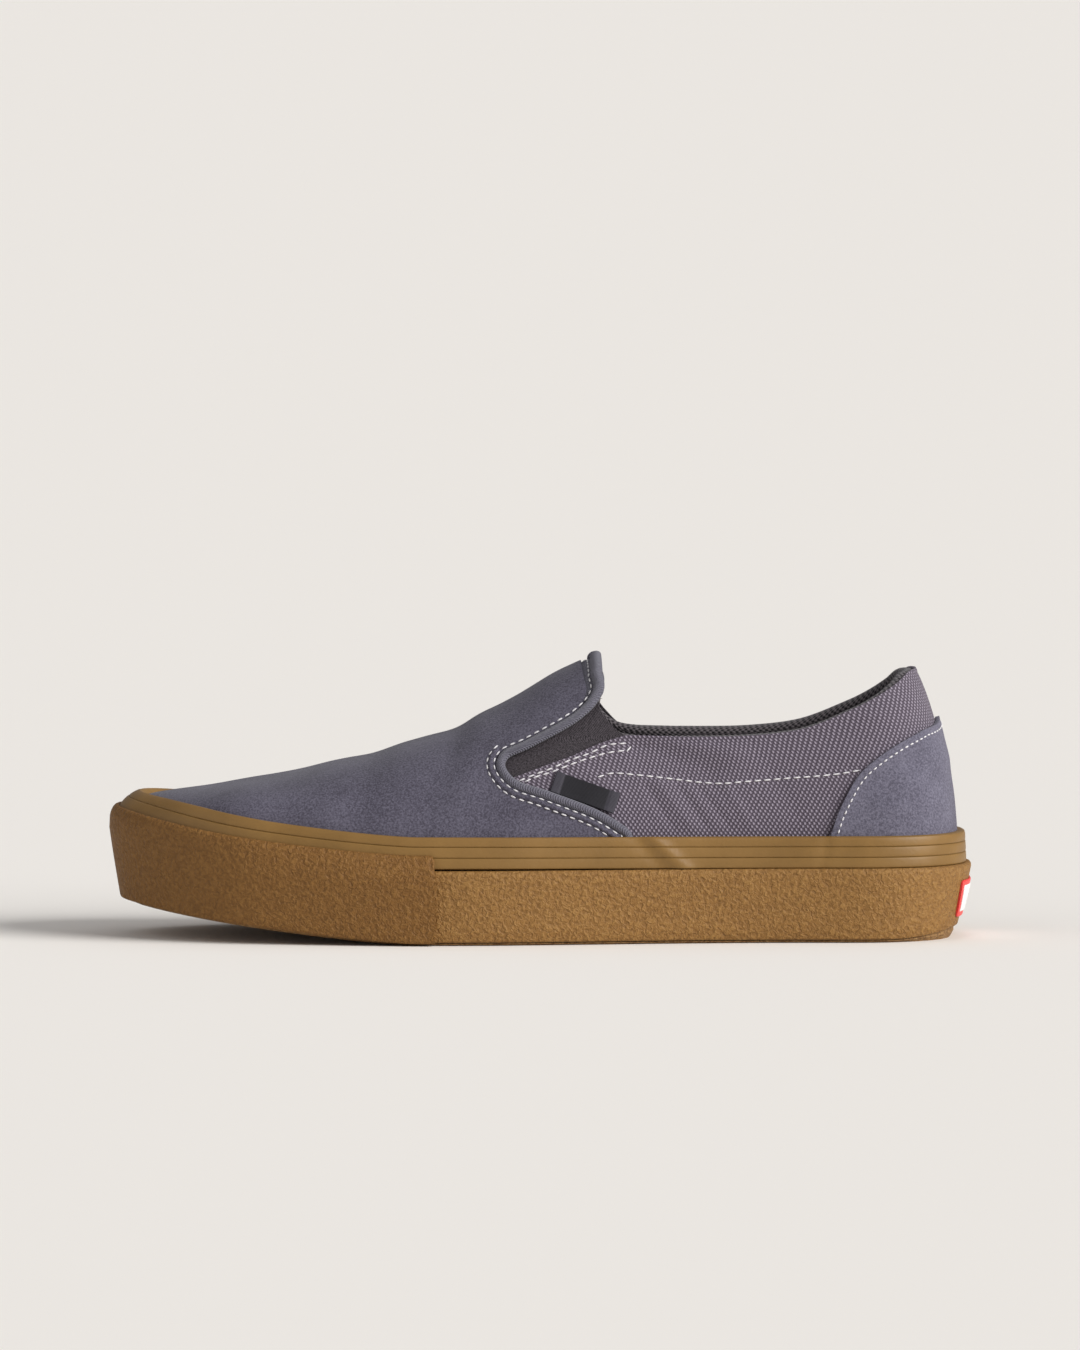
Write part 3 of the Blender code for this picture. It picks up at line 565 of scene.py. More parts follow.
def off_last(q, side, u, lift):
    """Point a distance off the last."""
    return last_point(q, side, u) + last_normal(q, side, u) * np.asarray(lift)[..., None]


def station_of(x):
    return 1 + (x - TOE_CENTRE) / (HEEL_CENTRE - TOE_CENTRE)


end = station_of(BUMPER_END)
lap = np.linspace(-1.0, 1.0, BUMPER_STEPS + 1)
lap = np.sign(lap) * (1 - (1 - np.abs(lap)) ** 1.25)
q, side = end * np.abs(lap), np.where(lap < 0, -1, 1)
from_end = (1 - np.abs(lap)) * end * (HEEL_CENTRE - TOE_CENTRE)
drop = np.clip(1 - from_end / BUMPER_CORNER, 0.0, 1.0)
drop = BUMPER_CORNER * (1 - np.sqrt(1 - drop ** 2))
over = BUMPER_HEIGHT - FOXING_HEIGHT - drop
tape_face = GAP + TAPE_WALL + RIB_RELIEF
rows = [ring_point(q, side, wall_radius(q, side, level) + GAP + BUMPER_WALL - inward, level)
        for level, inward in BUMPER_FACE]
rows += [off_last(q, side, tape_u(q, side, over - below), np.full_like(q, tape_face + proud))
         for below, proud in BUMPER_TOP]
rows += [ring_point(q, side, wall_radius(q, side, level) + outward, level)
         for level, outward in BUMPER_BACK]
rows.append(rows[0])
bumper = grid_piece("toe_bumper_strip", np.stack(rows, axis=1))
weld(bumper, close_ends=True)
bumper_rubber = pebble_rubber(
    "bumper_rubber", (0.158, 0.071, 0.015), (0.190, 0.087, 0.019), (0.228, 0.110, 0.026))
finish_piece(bumper, bumper_rubber, "gum_rubber", "toe_bumper")

# Foxing tape. A smooth extruded tape with three soft ribs that hides the joint
# of wall and upper. It bulges where the vamp's binding runs down under it, with a
# shallow dip beside that bulge, and dips where the counter's front edge runs down under it.
RIBS = 3
# Section of one rib from its upper edge to its lower one, sunk in mm
RIB_SECTION = [
    # share, sunk
    (1.000, 0.50), (0.970, 0.20), (0.930, 0.08), (0.850, 0.03), (0.650, 0.00), (0.500, 0.00),
    (0.350, 0.00), (0.150, 0.03), (0.070, 0.08), (0.030, 0.20), (0.000, 0.50),
]
# How far the tape's top edge leans in
TAPE_LEAN = 1.3
# Bulges and, with a height below nought, dips on each side, x = where each is
# at the tape's top, run = how far back it has moved at the foot, all in mm
TAPE_BULGES = [
    # x, run, width, height
    (181.5, 11.0, 3.2, 0.95),
    (176.0, 9.0, 2.8, -0.35),
    (240.5, -1.5, 1.2, -0.45),
]
q, side = round_trip(720)
rib = TAPE_HEIGHT / RIBS
rows = [off_last(q, side, tape_u(q, side, TAPE_HEIGHT - 0.2), np.full_like(q, 0.1)),
        off_last(q, side, tape_u(q, side, TAPE_HEIGHT), np.full_like(q, 1.2))]
for k in reversed(range(RIBS)):
    for share, sunk in RIB_SECTION:
        climb = (k + share) * rib
        face = last_point(q, side, tape_u(q, side, climb))
        proud = TAPE_WALL + RIB_RELIEF - sunk
        if k == RIBS - 1 and share > 0.5:
            proud -= TAPE_LEAN * (2 * share - 1) ** 6
        bulge = np.zeros_like(q)
        for x, run, width, height in TAPE_BULGES:
            middle = x + run * (1 - climb / TAPE_HEIGHT) - LENGTH / 2
            bulge += height * np.exp(-((face[:, 0] - middle) / width) ** 2)
        rows.append(off_last(q, side, tape_u(q, side, climb), GAP + proud + bulge))
rows += [off_last(q, side, tape_u(q, side, 0.0), np.full_like(q, 0.1)), rows[0]]
tape = grid_piece("foxing_tape_ribbed", np.stack(rows, axis=1))
weld(tape)
tape_rubber, shader = new_finish("tape_rubber", 0.46, 0.3)
spot = own_space(tape_rubber)
cloud = noise(tape_rubber, spot, 70.0, 4.0)
haze = noise(tape_rubber, spot, 900.0, 2.0)
ramp(tape_rubber, shader, cloud, [(0.3, (0.195, 0.106, 0.029)), (0.7, (0.236, 0.130, 0.037))])
bump(tape_rubber, shader, haze, 0.0002, 0.35)
finish_piece(tape, tape_rubber, "gum_rubber", "foxing_tape")

# Heel plate. A small two-colour rubber plate glued to the back of the wall, a
# red frame with a white panel standing in it. It carries no sign.
PLATE_WIDTH = 38.0
PLATE_HEIGHT = 12.4
PLATE_FOOT = 7.2
PLATE_RIM = 1.7
# Section of a plate from its foot up: share of the height, share of the thickness
PLATE_SECTION = [(0.0, 0.1), (0.0, 0.7), (0.02, 0.92), (0.06, 1.0), (0.3, 1.0), (0.5, 1.0), (0.7, 1.0),
                 (0.94, 1.0), (0.98, 0.92), (1.0, 0.7), (1.0, 0.1), (0.0, 0.1)]


def plate_piece(name, inset, thick, corner):
    """Rounded plate that follows the back of the foxing, smaller by the inset."""
    half = PLATE_WIDTH / 2 - inset
    span = half / ((LENGTH - HEEL_CENTRE) * math.pi / 2)
    lap = np.linspace(-1.0, 1.0, 49)
    lap = np.sign(lap) * (1 - (1 - np.abs(lap)) ** 1.4)
    q, side = 3 - span * np.abs(lap), np.where(lap < 0, -1, 1)
    drop = np.clip(1 - (1 - np.abs(lap)) * half / corner, 0.0, 1.0)
    drop = corner * (1 - np.sqrt(1 - drop ** 2))
    low, high = PLATE_FOOT + inset + drop, PLATE_FOOT + PLATE_HEIGHT - inset - drop
    rows = []
    for share, proud in PLATE_SECTION:
        level = low + share * (high - low)
        rows.append(ring_point(q, side, wall_radius(q, side, level) + proud * thick, level))
    piece = grid_piece(name, np.stack(rows, axis=1))
    weld(piece, close_ends=True)
    return piece


def moulded_rubber(name, colour):
    material, shader = new_finish(name, 0.42, 0.45)
    shader.inputs["Base Color"].default_value = (*colour, 1.0)
    spot = own_space(material)
    haze = noise(material, spot, 700.0, 3.0)
    bump(material, shader, haze, 0.0003, 0.4)
    return material


plate = plate_piece("heel_plate_frame", 0.0, 0.85, 1.5)
finish_piece(plate, moulded_rubber("red_rubber", (0.72, 0.045, 0.04)), "plate_rubber", "heel_plate")
panel = plate_piece("heel_plate_panel", PLATE_RIM, 1.15, 0.8)
finish_piece(panel, moulded_rubber("white_rubber", (0.80, 0.79, 0.77)), "plate_rubber")

# Sock. A foam footbed covered with dark knitted cloth, dropped into the shoe
# over the outsole, its edge cupped a little against the lining.
INSOLE_THICK = 4.0
UPPER_WALL = 2.0
SOCK_START = 12.0
SOCK_END = 278.0
SOCK_CUP = 1.6
SOCK_EASE = 0.8
SOCK_ROUND = 700.0


def shape_wall(piece, thick, ease):
    """Turns an open sheet outwards, gives it its thickness and eases its edges."""
    mesh = piece.data
    outward = sum(face.area * (face.normal.y * face.center.y
                               + face.normal.z * (face.center.z - 0.02)) for face in mesh.polygons)
    if outward < 0:
        mesh.flip_normals()
    select_only(piece)
    wall = piece.modifiers.new("wall", "SOLIDIFY")
    wall.thickness = thick * MM
    wall.offset = -1.0
    bpy.ops.object.modifier_apply(modifier="wall")
    if ease:
        soft_edge = piece.modifiers.new("soft_edge", "BEVEL")
        soft_edge.width = ease * MM
        soft_edge.segments = 2
        soft_edge.angle_limit = math.radians(55)
        bpy.ops.object.modifier_apply(modifier="soft_edge")


def weave(material, vector, wide, tall):
    """Share from 0 to 1 over a chequer of rounded cells, wide and tall in mm."""
    parts = node(material, "ShaderNodeSeparateXYZ", [("Vector", vector)]).outputs
    waves = [maths(material, "SINE", maths(material, "MULTIPLY", parts[axis], math.pi / pitch))
             for axis, pitch in (("X", wide), ("Y", tall))]
    return maths(material, "MULTIPLY_ADD", maths(material, "MULTIPLY", *waves), 0.5, 0.5)


def knit_cloth(name, wide, tall, low, high):
    """Open knitted cloth: rows of small stitches, each other row moved half a stitch."""
    material, shader = new_finish(name, 0.9, 0.2)
    share = weave(material, flat_map(material), wide, tall)
    ramp(material, shader, share, [(0.25, low), (0.75, high)])
    bump(material, shader, share, 0.0004, 0.6)
    shader.inputs["Sheen Weight"].default_value = 0.15
    return material


x = np.linspace(SOCK_START, SOCK_END, 141)[:, None]
across = np.linspace(-1.0, 1.0, 41)[None, :]
side = np.where(across < 0, -1, 1)
room = half_width(x, side) - FOXING_WALL - 3 * GAP - SHELF - UPPER_WALL - SOCK_EASE
round_end = np.sqrt(np.clip((x - SOCK_START) * (SOCK_END - x) / SOCK_ROUND, 0.0, 1.0)) * 0.999 + 0.001
y = across * np.maximum(room, 0.2) * round_end + swing(x)
cup = SOCK_CUP * smooth((np.abs(across) - 0.72) / 0.28) * smooth((x - 60) / 60)
z = ground(x) + stack(x) + GAP + INSOLE_THICK + cup - 0.2
sock = grid_piece("sock", np.stack(np.broadcast_arrays(x - LENGTH / 2, y, z), axis=-1))
weld(sock)
shape_wall(sock, INSOLE_THICK - 0.3, 0.5)
finish_piece(sock, knit_cloth("sock_cloth", 1.1, 0.9, (0.018, 0.017, 0.019), (0.045, 0.042, 0.046)),
             "sock_foam", "insole")

# Lining and collar pad. Dark spacer mesh over foam lines the whole inside; it
# rolls over the collar's top and is sewn down behind the canvas edge.
COLLAR_HEIGHT = 69.3
HEEL_HEIGHT = 90.6
COLLAR_PAD = 4.2
LIP_PAD = 1.4
ROLL_BELOW = 1.6
ROLL_RISE = 1.9
QUARTER_BELOW = 0.8
CLOTH = 0.8
LINING_ROWS = 36
# Collar top line, rise = share from collar height to heel height
COLLAR = [
    # along, rise
    (0.600, 0.02),
    (0.680, 0.00),
    (0.748, 0.02),
    (0.806, 0.13),
    (0.861, 0.43),
    (0.889, 0.62),
    (0.912, 0.82),
    (0.930, 1.00),
    (1.000, 1.00),
]
# Front of the opening: foot and head of each column of the lining, lift = share
# of the height from the collar to the instep
THROAT = [
    # foot, head, lift
    (0.532, 0.5670, 0.970),
    (0.538, 0.5690, 0.900),
    (0.545, 0.5710, 0.780),
    (0.553, 0.5720, 0.620),
    (0.562, 0.5710, 0.460),
    (0.573, 0.5690, 0.320),
    (0.603, 0.5850, 0.110),
    (0.645, 0.6130, 0.020),
    (0.686, 0.6600, 0.000),
]
LIP_FOOT = 0.528
LIP_HEAD = 0.566


def collar_line(x):
    return COLLAR_HEIGHT + (HEEL_HEIGHT - COLLAR_HEIGHT) * curve(COLLAR, x / LENGTH)


def line_u(q, side, line):
    """Place up each section where it meets a line of heights along the shoe."""

    def below(u):
        point = last_point(q, side, u)
        return point[..., 2] < line(point[..., 0] + LENGTH / 2)

    return halve(np.zeros(np.shape(q)), np.ones(np.shape(q)), 32, below)[0]


def even_column(foot_q, head_q, foot_u, head_u, side, rows):
    """Evenly spaced places from a foot to a head over the last."""
    t = np.linspace(0.0, 1.0, 121) ** 1.7
    points = last_point(foot_q + (head_q - foot_q) * t, side, foot_u + (head_u - foot_u) * t)
    run = run_along(points)
    at = np.interp(np.linspace(0, run[-1], rows + 1), run, t)
    return foot_q + (head_q - foot_q) * at, foot_u + (head_u - foot_u) * at


def numbered(rows):
    """A table with its row number put first, to be walked as a curve."""
    return [(k, *row) for k, row in enumerate(rows)]


toe = np.linspace(0.0, 1.0, 25)[:-1]
lip = np.linspace(0.0, 1.0, 41)
step = np.linspace(0.0, len(THROAT) - 1, 49)
sweep = np.linspace(0.0, 1.0, 61)[1:]
heel = np.linspace(2.0, 3.0, 29)[1:]
foot_x, head_x, lift = (curve(numbered(THROAT), step, column) for column in (1, 2, 3))
steep = smooth((lift - 0.05) / 0.3)
foot_x, head_x = foot_x * LENGTH, head_x * LENGTH - ROLL_BELOW * steep
throat_z = COLLAR_HEIGHT + lift * (INSTEP_HEIGHT - COLLAR_HEIGHT) - ROLL_BELOW * (1 - steep)
throat_q = station_of(head_x)
lip_foot = TOE_CENTRE + lip * (LIP_FOOT * LENGTH - TOE_CENTRE)
lip_head = TOE_CENTRE + lip * (LIP_HEAD * LENGTH - ROLL_BELOW - TOE_CENTRE)
foot_q = np.concatenate((toe, station_of(lip_foot), station_of(foot_x),
                         station_of(foot_x[-1] + sweep * (HEEL_CENTRE - foot_x[-1])), heel))
head_q = np.concatenate((toe, station_of(lip_head), throat_q,
                         station_of(head_x[-1] + sweep * (HEEL_CENTRE - head_x[-1])), heel))
first, last = len(toe) + len(lip), len(toe) + len(lip) + len(step)
pad = np.full(len(head_q), COLLAR_PAD)
pad[:first] = 0.0
pad[first:last] = LIP_PAD + (COLLAR_PAD - LIP_PAD) * smooth((step - 4.5) / 3.5)
skirt = np.full(len(head_q), CLOTH + 0.15)
skirt[first:last] += CLOTH * (1 - smooth((step - 5.6) / 1.4))

inner_columns, roll_columns = [], []
for side in (-1, 1):
    head_u = np.ones(len(head_q))
    head_u[first:last] = height_u(throat_q, side, throat_z)
    head_u[last:] = line_u(head_q[last:], side, lambda x: collar_line(x) - ROLL_BELOW)
    columns, heads = [], []
    for k in range(len(head_q)):
        column_q, column_u = even_column(foot_q[k], head_q[k], 0.0, head_u[k], side, LINING_ROWS)
        share = np.linspace(0.0, 1.0, LINING_ROWS + 1)
        depth = UPPER_WALL + pad[k] * smooth((share - 0.62) / 0.3)
        columns.append(off_last(column_q, side, column_u, -depth))
    for k in range(first, len(head_q)):
        place = (head_q[k], side, head_u[k])
        beyond = min(k + 1, len(head_q) - 1)
        around = last_point(head_q[beyond], side, head_u[beyond])
        before = around * (1, -1, 1)
        if k > first:
            before = last_point(head_q[k - 1], side, head_u[k - 1])
        if k == len(head_q) - 1:
            around = before * (1, -1, 1)
        normal = last_normal(*place)
        up = np.cross(around - before, normal)
        up /= np.linalg.norm(up)
        up *= np.sign(up @ (0.25, 0.0, 1.0) if k > first else up[0])
        inner, outer = -(UPPER_WALL + pad[k]), -skirt[k]
        middle, half = (inner + outer) / 2, (outer - inner) / 2
        point = last_point(*place)
        turn = np.linspace(0.0, math.pi, 11)[:, None]
        rise = ROLL_RISE * (0.3 + 0.7 * smooth((k - first) / (last - first) * 2 - 0.9))
        roll = point + normal * (middle - half * np.cos(turn)) + up * rise * np.sin(turn)
        tuck = point + normal * outer - up * 2.5
        heads.append(np.vstack((roll, tuck)))
    inner_columns += columns if side < 0 else columns[::-1]
    roll_columns += heads if side < 0 else heads[::-1]
lining = grid_piece("collar_lining", np.array(inner_columns))
roll = grid_piece("collar_roll", np.array(roll_columns))
select_only(lining, roll)
bpy.ops.object.join()
weld(lining)
lining_cloth = knit_cloth("lining_mesh", 1.0, 0.8, (0.016, 0.014, 0.016), (0.145, 0.126, 0.132))
finish_piece(lining, lining_cloth, "dark_weave", "upper", sharp=60.0)

# Gores. A piece of dark ribbed elastic on each side of the lip, its edges
# tucked under the vamp's binding and behind the folded front of the canvas.
# Rear edge seen from the side, x in mm for each height
GORE_REAR = [
    # z, x
    (48.0, 137.0),
    (55.2, 142.5),
    (59.7, 154.6),
    (62.2, 161.7),
    (65.2, 168.4),
    (67.3, 173.0),
    (68.9, 173.5),
    (70.4, 171.2),
    (73.0, 168.6),
    (77.2, 165.2),
    (80.0, 164.6),
]
GORE_FRONT = 126.0


def lay_sheet(name, q, side, u, lift, thick, ease=0.2):
    """Sheet laid on the last, its outer face lifted and its thickness below that."""
    piece = grid_piece(name, off_last(q, side, u, lift))
    weld(piece)
    shape_wall(piece, thick, ease)
    return piece


gore_cloth, shader = new_finish("gore_elastic", 0.85, 0.2)
flat = flat_map(gore_cloth)
rib_wave = node(gore_cloth, "ShaderNodeTexWave",
                [("Vector", flat), ("Scale", 0.55), ("Distortion", 1.5), ("Detail", 2.0),
                 ("Detail Scale", 2.5)])
fleck = noise(gore_cloth, flat, 1.4, 3.0)
both = maths(gore_cloth, "MULTIPLY_ADD", rib_wave.outputs["Fac"], 0.35, fleck)
ramp(gore_cloth, shader, both, [(0.50, (0.012, 0.010, 0.011)), (0.85, (0.088, 0.075, 0.084))])
bump(gore_cloth, shader, both, 0.0003, 0.6)
z = np.linspace(GORE_REAR[0][0], GORE_REAR[-1][0], 61)[None, :]
share = np.linspace(0.0, 1.0, 61)[:, None]
q = station_of(GORE_FRONT + share * (curve(GORE_REAR, z) - GORE_FRONT))
for side, name in ((-1, "gore_outer"), (1, "gore_inner")):
    u = height_u(q, side, z + 0 * q)
    gore = lay_sheet(name, q, side, u, np.full(q.shape, -CLOTH - 0.05), 0.6)
    finish_piece(gore, gore_cloth, "dark_weave")

# Quarters. Coarse canvas in a plain weave, purple-grey, from under the vamp
# round the heel in one run. Its front edge is folded over the gore, its top
# edge over the collar pad, and its foot goes down behind the tape.
# Front edge seen from the side
QUARTER_FRONT = [
    # x, z
    (122.0, 49.0),
    (131.0, 53.0),
    (136.5, 55.2),
    (141.9, 57.2),
    (148.6, 59.7),
    (155.7, 62.2),
    (162.4, 65.2),
    (168.1, 67.3),
    (172.5, 68.5),
]
QUARTER_START = 124.0
THREAD_WIDE = 0.77
THREAD_TALL = 1.04
FOLD_FADE = 0.35
# Soft troughs and ridges, each along a line seen from the side, height in mm
CANVAS_FOLDS = [
    # x0, z0, x1, z1, height, width
    (174.0, 68.0, 205.0, 55.0, -1.10, 4.6),
    (188.0, 69.0, 214.0, 62.0, 0.75, 4.0),
    (176.0, 60.0, 196.0, 54.0, -0.55, 2.6),
    (180.0, 53.0, 190.0, 38.0, -0.42, 1.1),
    (184.0, 54.0, 196.0, 38.0, 0.42, 1.3),
    (190.0, 54.0, 201.0, 38.0, -0.46, 1.1),
    (197.0, 53.0, 209.0, 38.0, -0.40, 1.2),
    (205.0, 55.0, 216.0, 38.0, 0.32, 1.6),
    (158.0, 58.0, 172.0, 50.0, 0.25, 2.2),
    (220.0, 60.0, 232.0, 40.0, -0.30, 3.5),
    (232.0, 72.0, 262.0, 68.0, -0.35, 5.0),
]


def folds(points, table):
    """Height of soft folds at points, each fading towards both its ends."""
    x, z = points[..., 0] + LENGTH / 2, points[..., 2]
    relief = np.zeros(x.shape)
    for x0, z0, x1, z1, height, width in table:
        run = math.hypot(x1 - x0, z1 - z0)
        along = ((x - x0) * (x1 - x0) + (z - z0) * (z1 - z0)) / run ** 2
        away = ((x - x0) * (z1 - z0) - (z - z0) * (x1 - x0)) / run
        fade = smooth(along / FOLD_FADE + 0.5) * smooth((1 - along) / FOLD_FADE + 0.5)
        relief += height * np.exp(-((away / width) ** 2)) * fade
    return relief


def quarter_line(x):
    front = curve(QUARTER_FRONT, x)
    return np.where(x < QUARTER_FRONT[-1][0], front, collar_line(x) - QUARTER_BELOW)


canvas, shader = new_finish("canvas", 0.92, 0.15)
flat = flat_map(canvas)
drift = node(canvas, "ShaderNodeTexNoise", [("Vector", flat), ("Scale", 0.35), ("Detail", 2.0)],
             noise_dimensions="2D")
shift = node(canvas, "ShaderNodeVectorMath",
             [(0, drift.outputs["Color"]), (1, (0.3, 0.3, 0.0)), (2, flat)], operation="MULTIPLY_ADD")
share = weave(canvas, shift.outputs[0], THREAD_WIDE, THREAD_TALL)
tone = maths(canvas, "MULTIPLY_ADD", noise(canvas, flat, 1.3, 3.0), 0.35, share)
ramp(canvas, shader, tone,
     [(0.20, (0.092, 0.074, 0.096)), (0.66, (0.070, 0.056, 0.074)), (1.00, (0.300, 0.262, 0.312))])
bump(canvas, shader, share, 0.0004, 0.8)
shader.inputs["Sheen Weight"].default_value = 0.12

half = np.concatenate((station_of(np.linspace(QUARTER_START, HEEL_CENTRE, 131)),
                       np.linspace(2.0, 3.0, 50)[1:]))
q = np.concatenate((half, half[-2::-1]))[:, None]
side = np.concatenate((np.full(len(half), -1), np.full(len(half) - 1, 1)))[:, None]
head = line_u(q, side, quarter_line)
foot = tape_u(q, side, 5.0)
share = np.linspace(0.0, 1.0, 57)[None, :]
u = foot + (head - foot) * share
points = last_point(q + 0 * u, side, u)
lift = folds(points, CANVAS_FOLDS)
folded = smooth((share - 0.965) / 0.02) * 0.25
quarters = lay_sheet("canvas_quarters", q + 0 * u, side + 0 * u, u,
                     lift * smooth((1 - share) / 0.12) + folded, CLOTH, 0.25)
finish_piece(quarters, canvas, "canvas")

# Heel counter. Suede of the vamp's colour laid over the canvas round the heel,
# cut raw at its front edge. Soft creases run across it. Its copy of the suede is
# painted lighter than the vamp's, as painted light for the brighter light on the heel.
OVERLAY_GAP = 0.35
SUEDE = 1.4
COUNTER_EDGE = [
    # along, up
    (0.834, 0.000),
    (0.845, 0.150),
    (0.865, 0.330),
    (0.886, 0.430),
    (0.913, 0.520),
    (0.940, 0.590),
]
COUNTER_BACK = 0.645
SUEDE_FOLDS = [
    # x0, z0, x1, z1, height, width
    (250.0, 52.0, 272.0, 62.0, -0.75, 4.2),
    (256.0, 44.0, 280.0, 47.0, 0.60, 4.5),
    (247.0, 40.0, 262.0, 52.0, -0.35, 3.0),
    (268.0, 66.0, 282.0, 58.0, 0.35, 3.5),
]


def locate(x, height, side):
    """Station and place up the section of points given from the side."""
    start, stop = np.full(np.shape(x), 2.0), np.full(np.shape(x), 3.0)

    def ahead(q):
        return last_point(q, side, height_u(q, side, height))[..., 0] + LENGTH / 2 < x

    q = np.where(x > HEEL_CENTRE, halve(start, stop, 22, ahead)[0], station_of(x))
    return q, height_u(q, side, height)


def overlay_foot(q, side):
    """Place up a section just above the tape, where the overlays come out of it."""
    return tape_u(q, side, TAPE_HEIGHT - 1.5)


def above_tape(q, side, share):
    """Place up a section, from a share of the way between the tape and the ridge."""
    foot = overlay_foot(q, side)
    return foot + (1 - foot) * share


def share_above(q, side, u):
    """Share of the way between the tape and the ridge, from a place up a section."""
    foot = overlay_foot(q, side)
    return (u - foot) / (1 - foot)


def overlay_edge(rows, side, count):
    """Stations and shares of the way above the tape along a table's edge."""
    step = np.linspace(0.0, len(rows) - 1, count + 1)
    x, up = curve(numbered(rows), step, 1) * LENGTH, curve(numbered(rows), step, 2)
    q, u = locate(x, raised(x, up), side)
    share = np.clip(share_above(q, side, u), 0.0, 1.0)
    share[0] = 0.0
    return q, share


def counter_top(side):
    """Share above the tape of the counter's top at the middle of the back."""
    back = np.array(3.0)
    return share_above(back, side, height_u(back, side, raised(LENGTH, COUNTER_BACK)))


def overlay(name, columns, table, thick, ease):
    """Suede laid over the wall, its columns lists of (station, side, place up)."""
    q, side, u = (np.array([column[k] for column in columns]) for k in range(3))
    lift = OVERLAY_GAP + SUEDE + folds(last_point(q, side, u), table)
    return lay_sheet(name, q, side, u, lift, thick, ease)


def suede_finish(name, deep, face, pale):
    """Fine brushed suede: soft clouds where the nap is stroked over, a short grain."""
    material, shader = new_finish(name, 0.95, 0.12)
    spot = own_space(material)
    cloud = noise(material, spot, 48.0, 3.0, 0.55)
    nap = noise(material, spot, 1500.0, 3.0, 0.6)
    both = maths(material, "MULTIPLY_ADD", cloud, 0.30, nap)
    ramp(material, shader, both, [(0.48, deep), (0.65, face), (0.82, pale)])
    bump(material, shader, nap, 0.0003, 0.6)
    shader.inputs["Sheen Weight"].default_value = 0.10
    shader.inputs["Sheen Roughness"].default_value = 0.5
    return material


# Same suede as the vamp, its colours about half again lighter: painted light where the heel catches more
# light.
counter_suede_painted_light = suede_finish(
    "grey_suede_counter_painted_light", (0.081, 0.0755, 0.101), (0.128, 0.120, 0.158), (0.175, 0.166, 0.213))
suede = suede_finish("grey_suede", (0.052, 0.047, 0.064), (0.087, 0.080, 0.107), (0.126, 0.117, 0.153))
COUNTER_ROWS, COUNTER_STEPS = 70, 84
columns = []
for side in (-1, 1):
    edge_q, edge_share = overlay_edge(COUNTER_EDGE, side, COUNTER_ROWS)
    back_share = counter_top(side) * np.linspace(0.0, 1.0, COUNTER_ROWS + 1)
    part = []
    for t in np.linspace(0.0, 1.0, COUNTER_STEPS + 1):
        q, share = edge_q + (3.0 - edge_q) * t, edge_share + (back_share - edge_share) * t
        part.append((q, np.full_like(q, side), above_tape(q, side, share)))
    columns += part if side < 0 else part[-2::-1]
counter = overlay("suede_counter", columns, SUEDE_FOLDS, SUEDE + 0.1, 0.45)
finish_piece(counter, counter_suede_painted_light, "suede", "heel_counter")

# Vamp. One piece of suede from the toe to the lip, lasted down under the tape.
# It shows the soft cross folds of a shoe that has been on a foot a few times.
# Its last height lies past the ridge, so that the edge ends on the ridge itself
VAMP_EDGE = [
    # along, up
    (0.596, 0.000),
    (0.560, 0.106),
    (0.506, 0.207),
    (0.468, 0.270),
    (0.450, 0.372),
    (0.457, 0.462),
    (0.487, 0.534),
    (0.541, 0.686),
    (0.554, 0.790),
    (0.551, 0.890),
    (0.545, 1.100),
]
VAMP_FOLDS = [
    # x0, z0, x1, z1, height, width
    (108.0, 42.0, 122.0, 84.0, -0.85, 5.0),
    (119.0, 44.0, 130.0, 90.0, 0.45, 4.5),
    (96.0, 38.0, 104.0, 78.0, 0.40, 5.5),
    (84.0, 38.0, 91.0, 70.0, -0.40, 5.0),
    (70.0, 38.0, 76.0, 62.0, 0.25, 6.0),
    (132.0, 70.0, 150.0, 92.0, -0.35, 4.0),
    (136.0, 40.0, 158.0, 45.0, -0.30, 3.0),
]
VAMP_ROWS, TOE_COLUMNS, VAMP_COLUMNS = 100, 40, 84
columns = []
for side in (-1, 1):
    edge_q, edge_share = overlay_edge(VAMP_EDGE, side, VAMP_ROWS)
    edge_share[-1] = 1.0
    part = []
    for k in range(TOE_COLUMNS + 1):
        station = k / TOE_COLUMNS
        foot = float(overlay_foot(np.array(station), side))
        q, u = even_column(station, station, foot, 1.0, side, VAMP_ROWS)
        part.append((q, np.full_like(q, side), u))
    start_share = share_above(np.array(1.0), side, part[-1][2])
    for t in np.linspace(0.0, 1.0, VAMP_COLUMNS + 1)[1:]:
        q, share = 1.0 + (edge_q - 1.0) * t, start_share + (edge_share - start_share) * t
        part.append((q, np.full_like(q, side), above_tape(q, side, share)))
    columns += part[::-1] if side < 0 else part[1:]
vamp = overlay("suede_vamp", columns, VAMP_FOLDS, SUEDE, 0.4)
finish_piece(vamp, suede, "suede", "vamp")

# Binding. A bias strip of twill sewn along the suede's rear edge and rolled
# over it: a narrow cord-like roll down both branches, and at the lip a flat
# strip with a thicker roll behind it. The suede's lower edge has a turned rim.
LIP_STRIP = 2.7
ROLL_RADIUS = 1.55
ROLL_LIFT = 1.15
BINDING_COLUMNS = 200
# Columns on each side of the ridge that are bridged, and that are laid straight
BRIDGE = 22
CREST = 3
RIM_PLACE, RIM_TOP = 0.45, 0.47
RIM_RADIUS = 0.85
RIM_INWARD = 1.6
LIP_START = 76.0
LIP_RUN = 8.0


def slide(q, side, u, shift):
    """Places on the last nearest to places moved by a short way."""
    target = last_point(q, side, u) + shift
    step = 0.003
    for _ in range(5):
        gone = target - last_point(q, side, u)
        along = (last_point(q + step, side, u) - last_point(q - step, side, u)) / (2 * step)
        rise = (last_point(q, side, u + step) - last_point(q, side, u - step)) / (2 * step)
        aa, ab, bb = (along * along).sum(-1), (along * rise).sum(-1), (rise * rise).sum(-1)
        ga, gb = (gone * along).sum(-1), (gone * rise).sum(-1)
        scale = aa * bb - ab * ab
        q, u = q + (ga * bb - gb * ab) / scale, u + (gb * aa - ga * ab) / scale
    return q, u


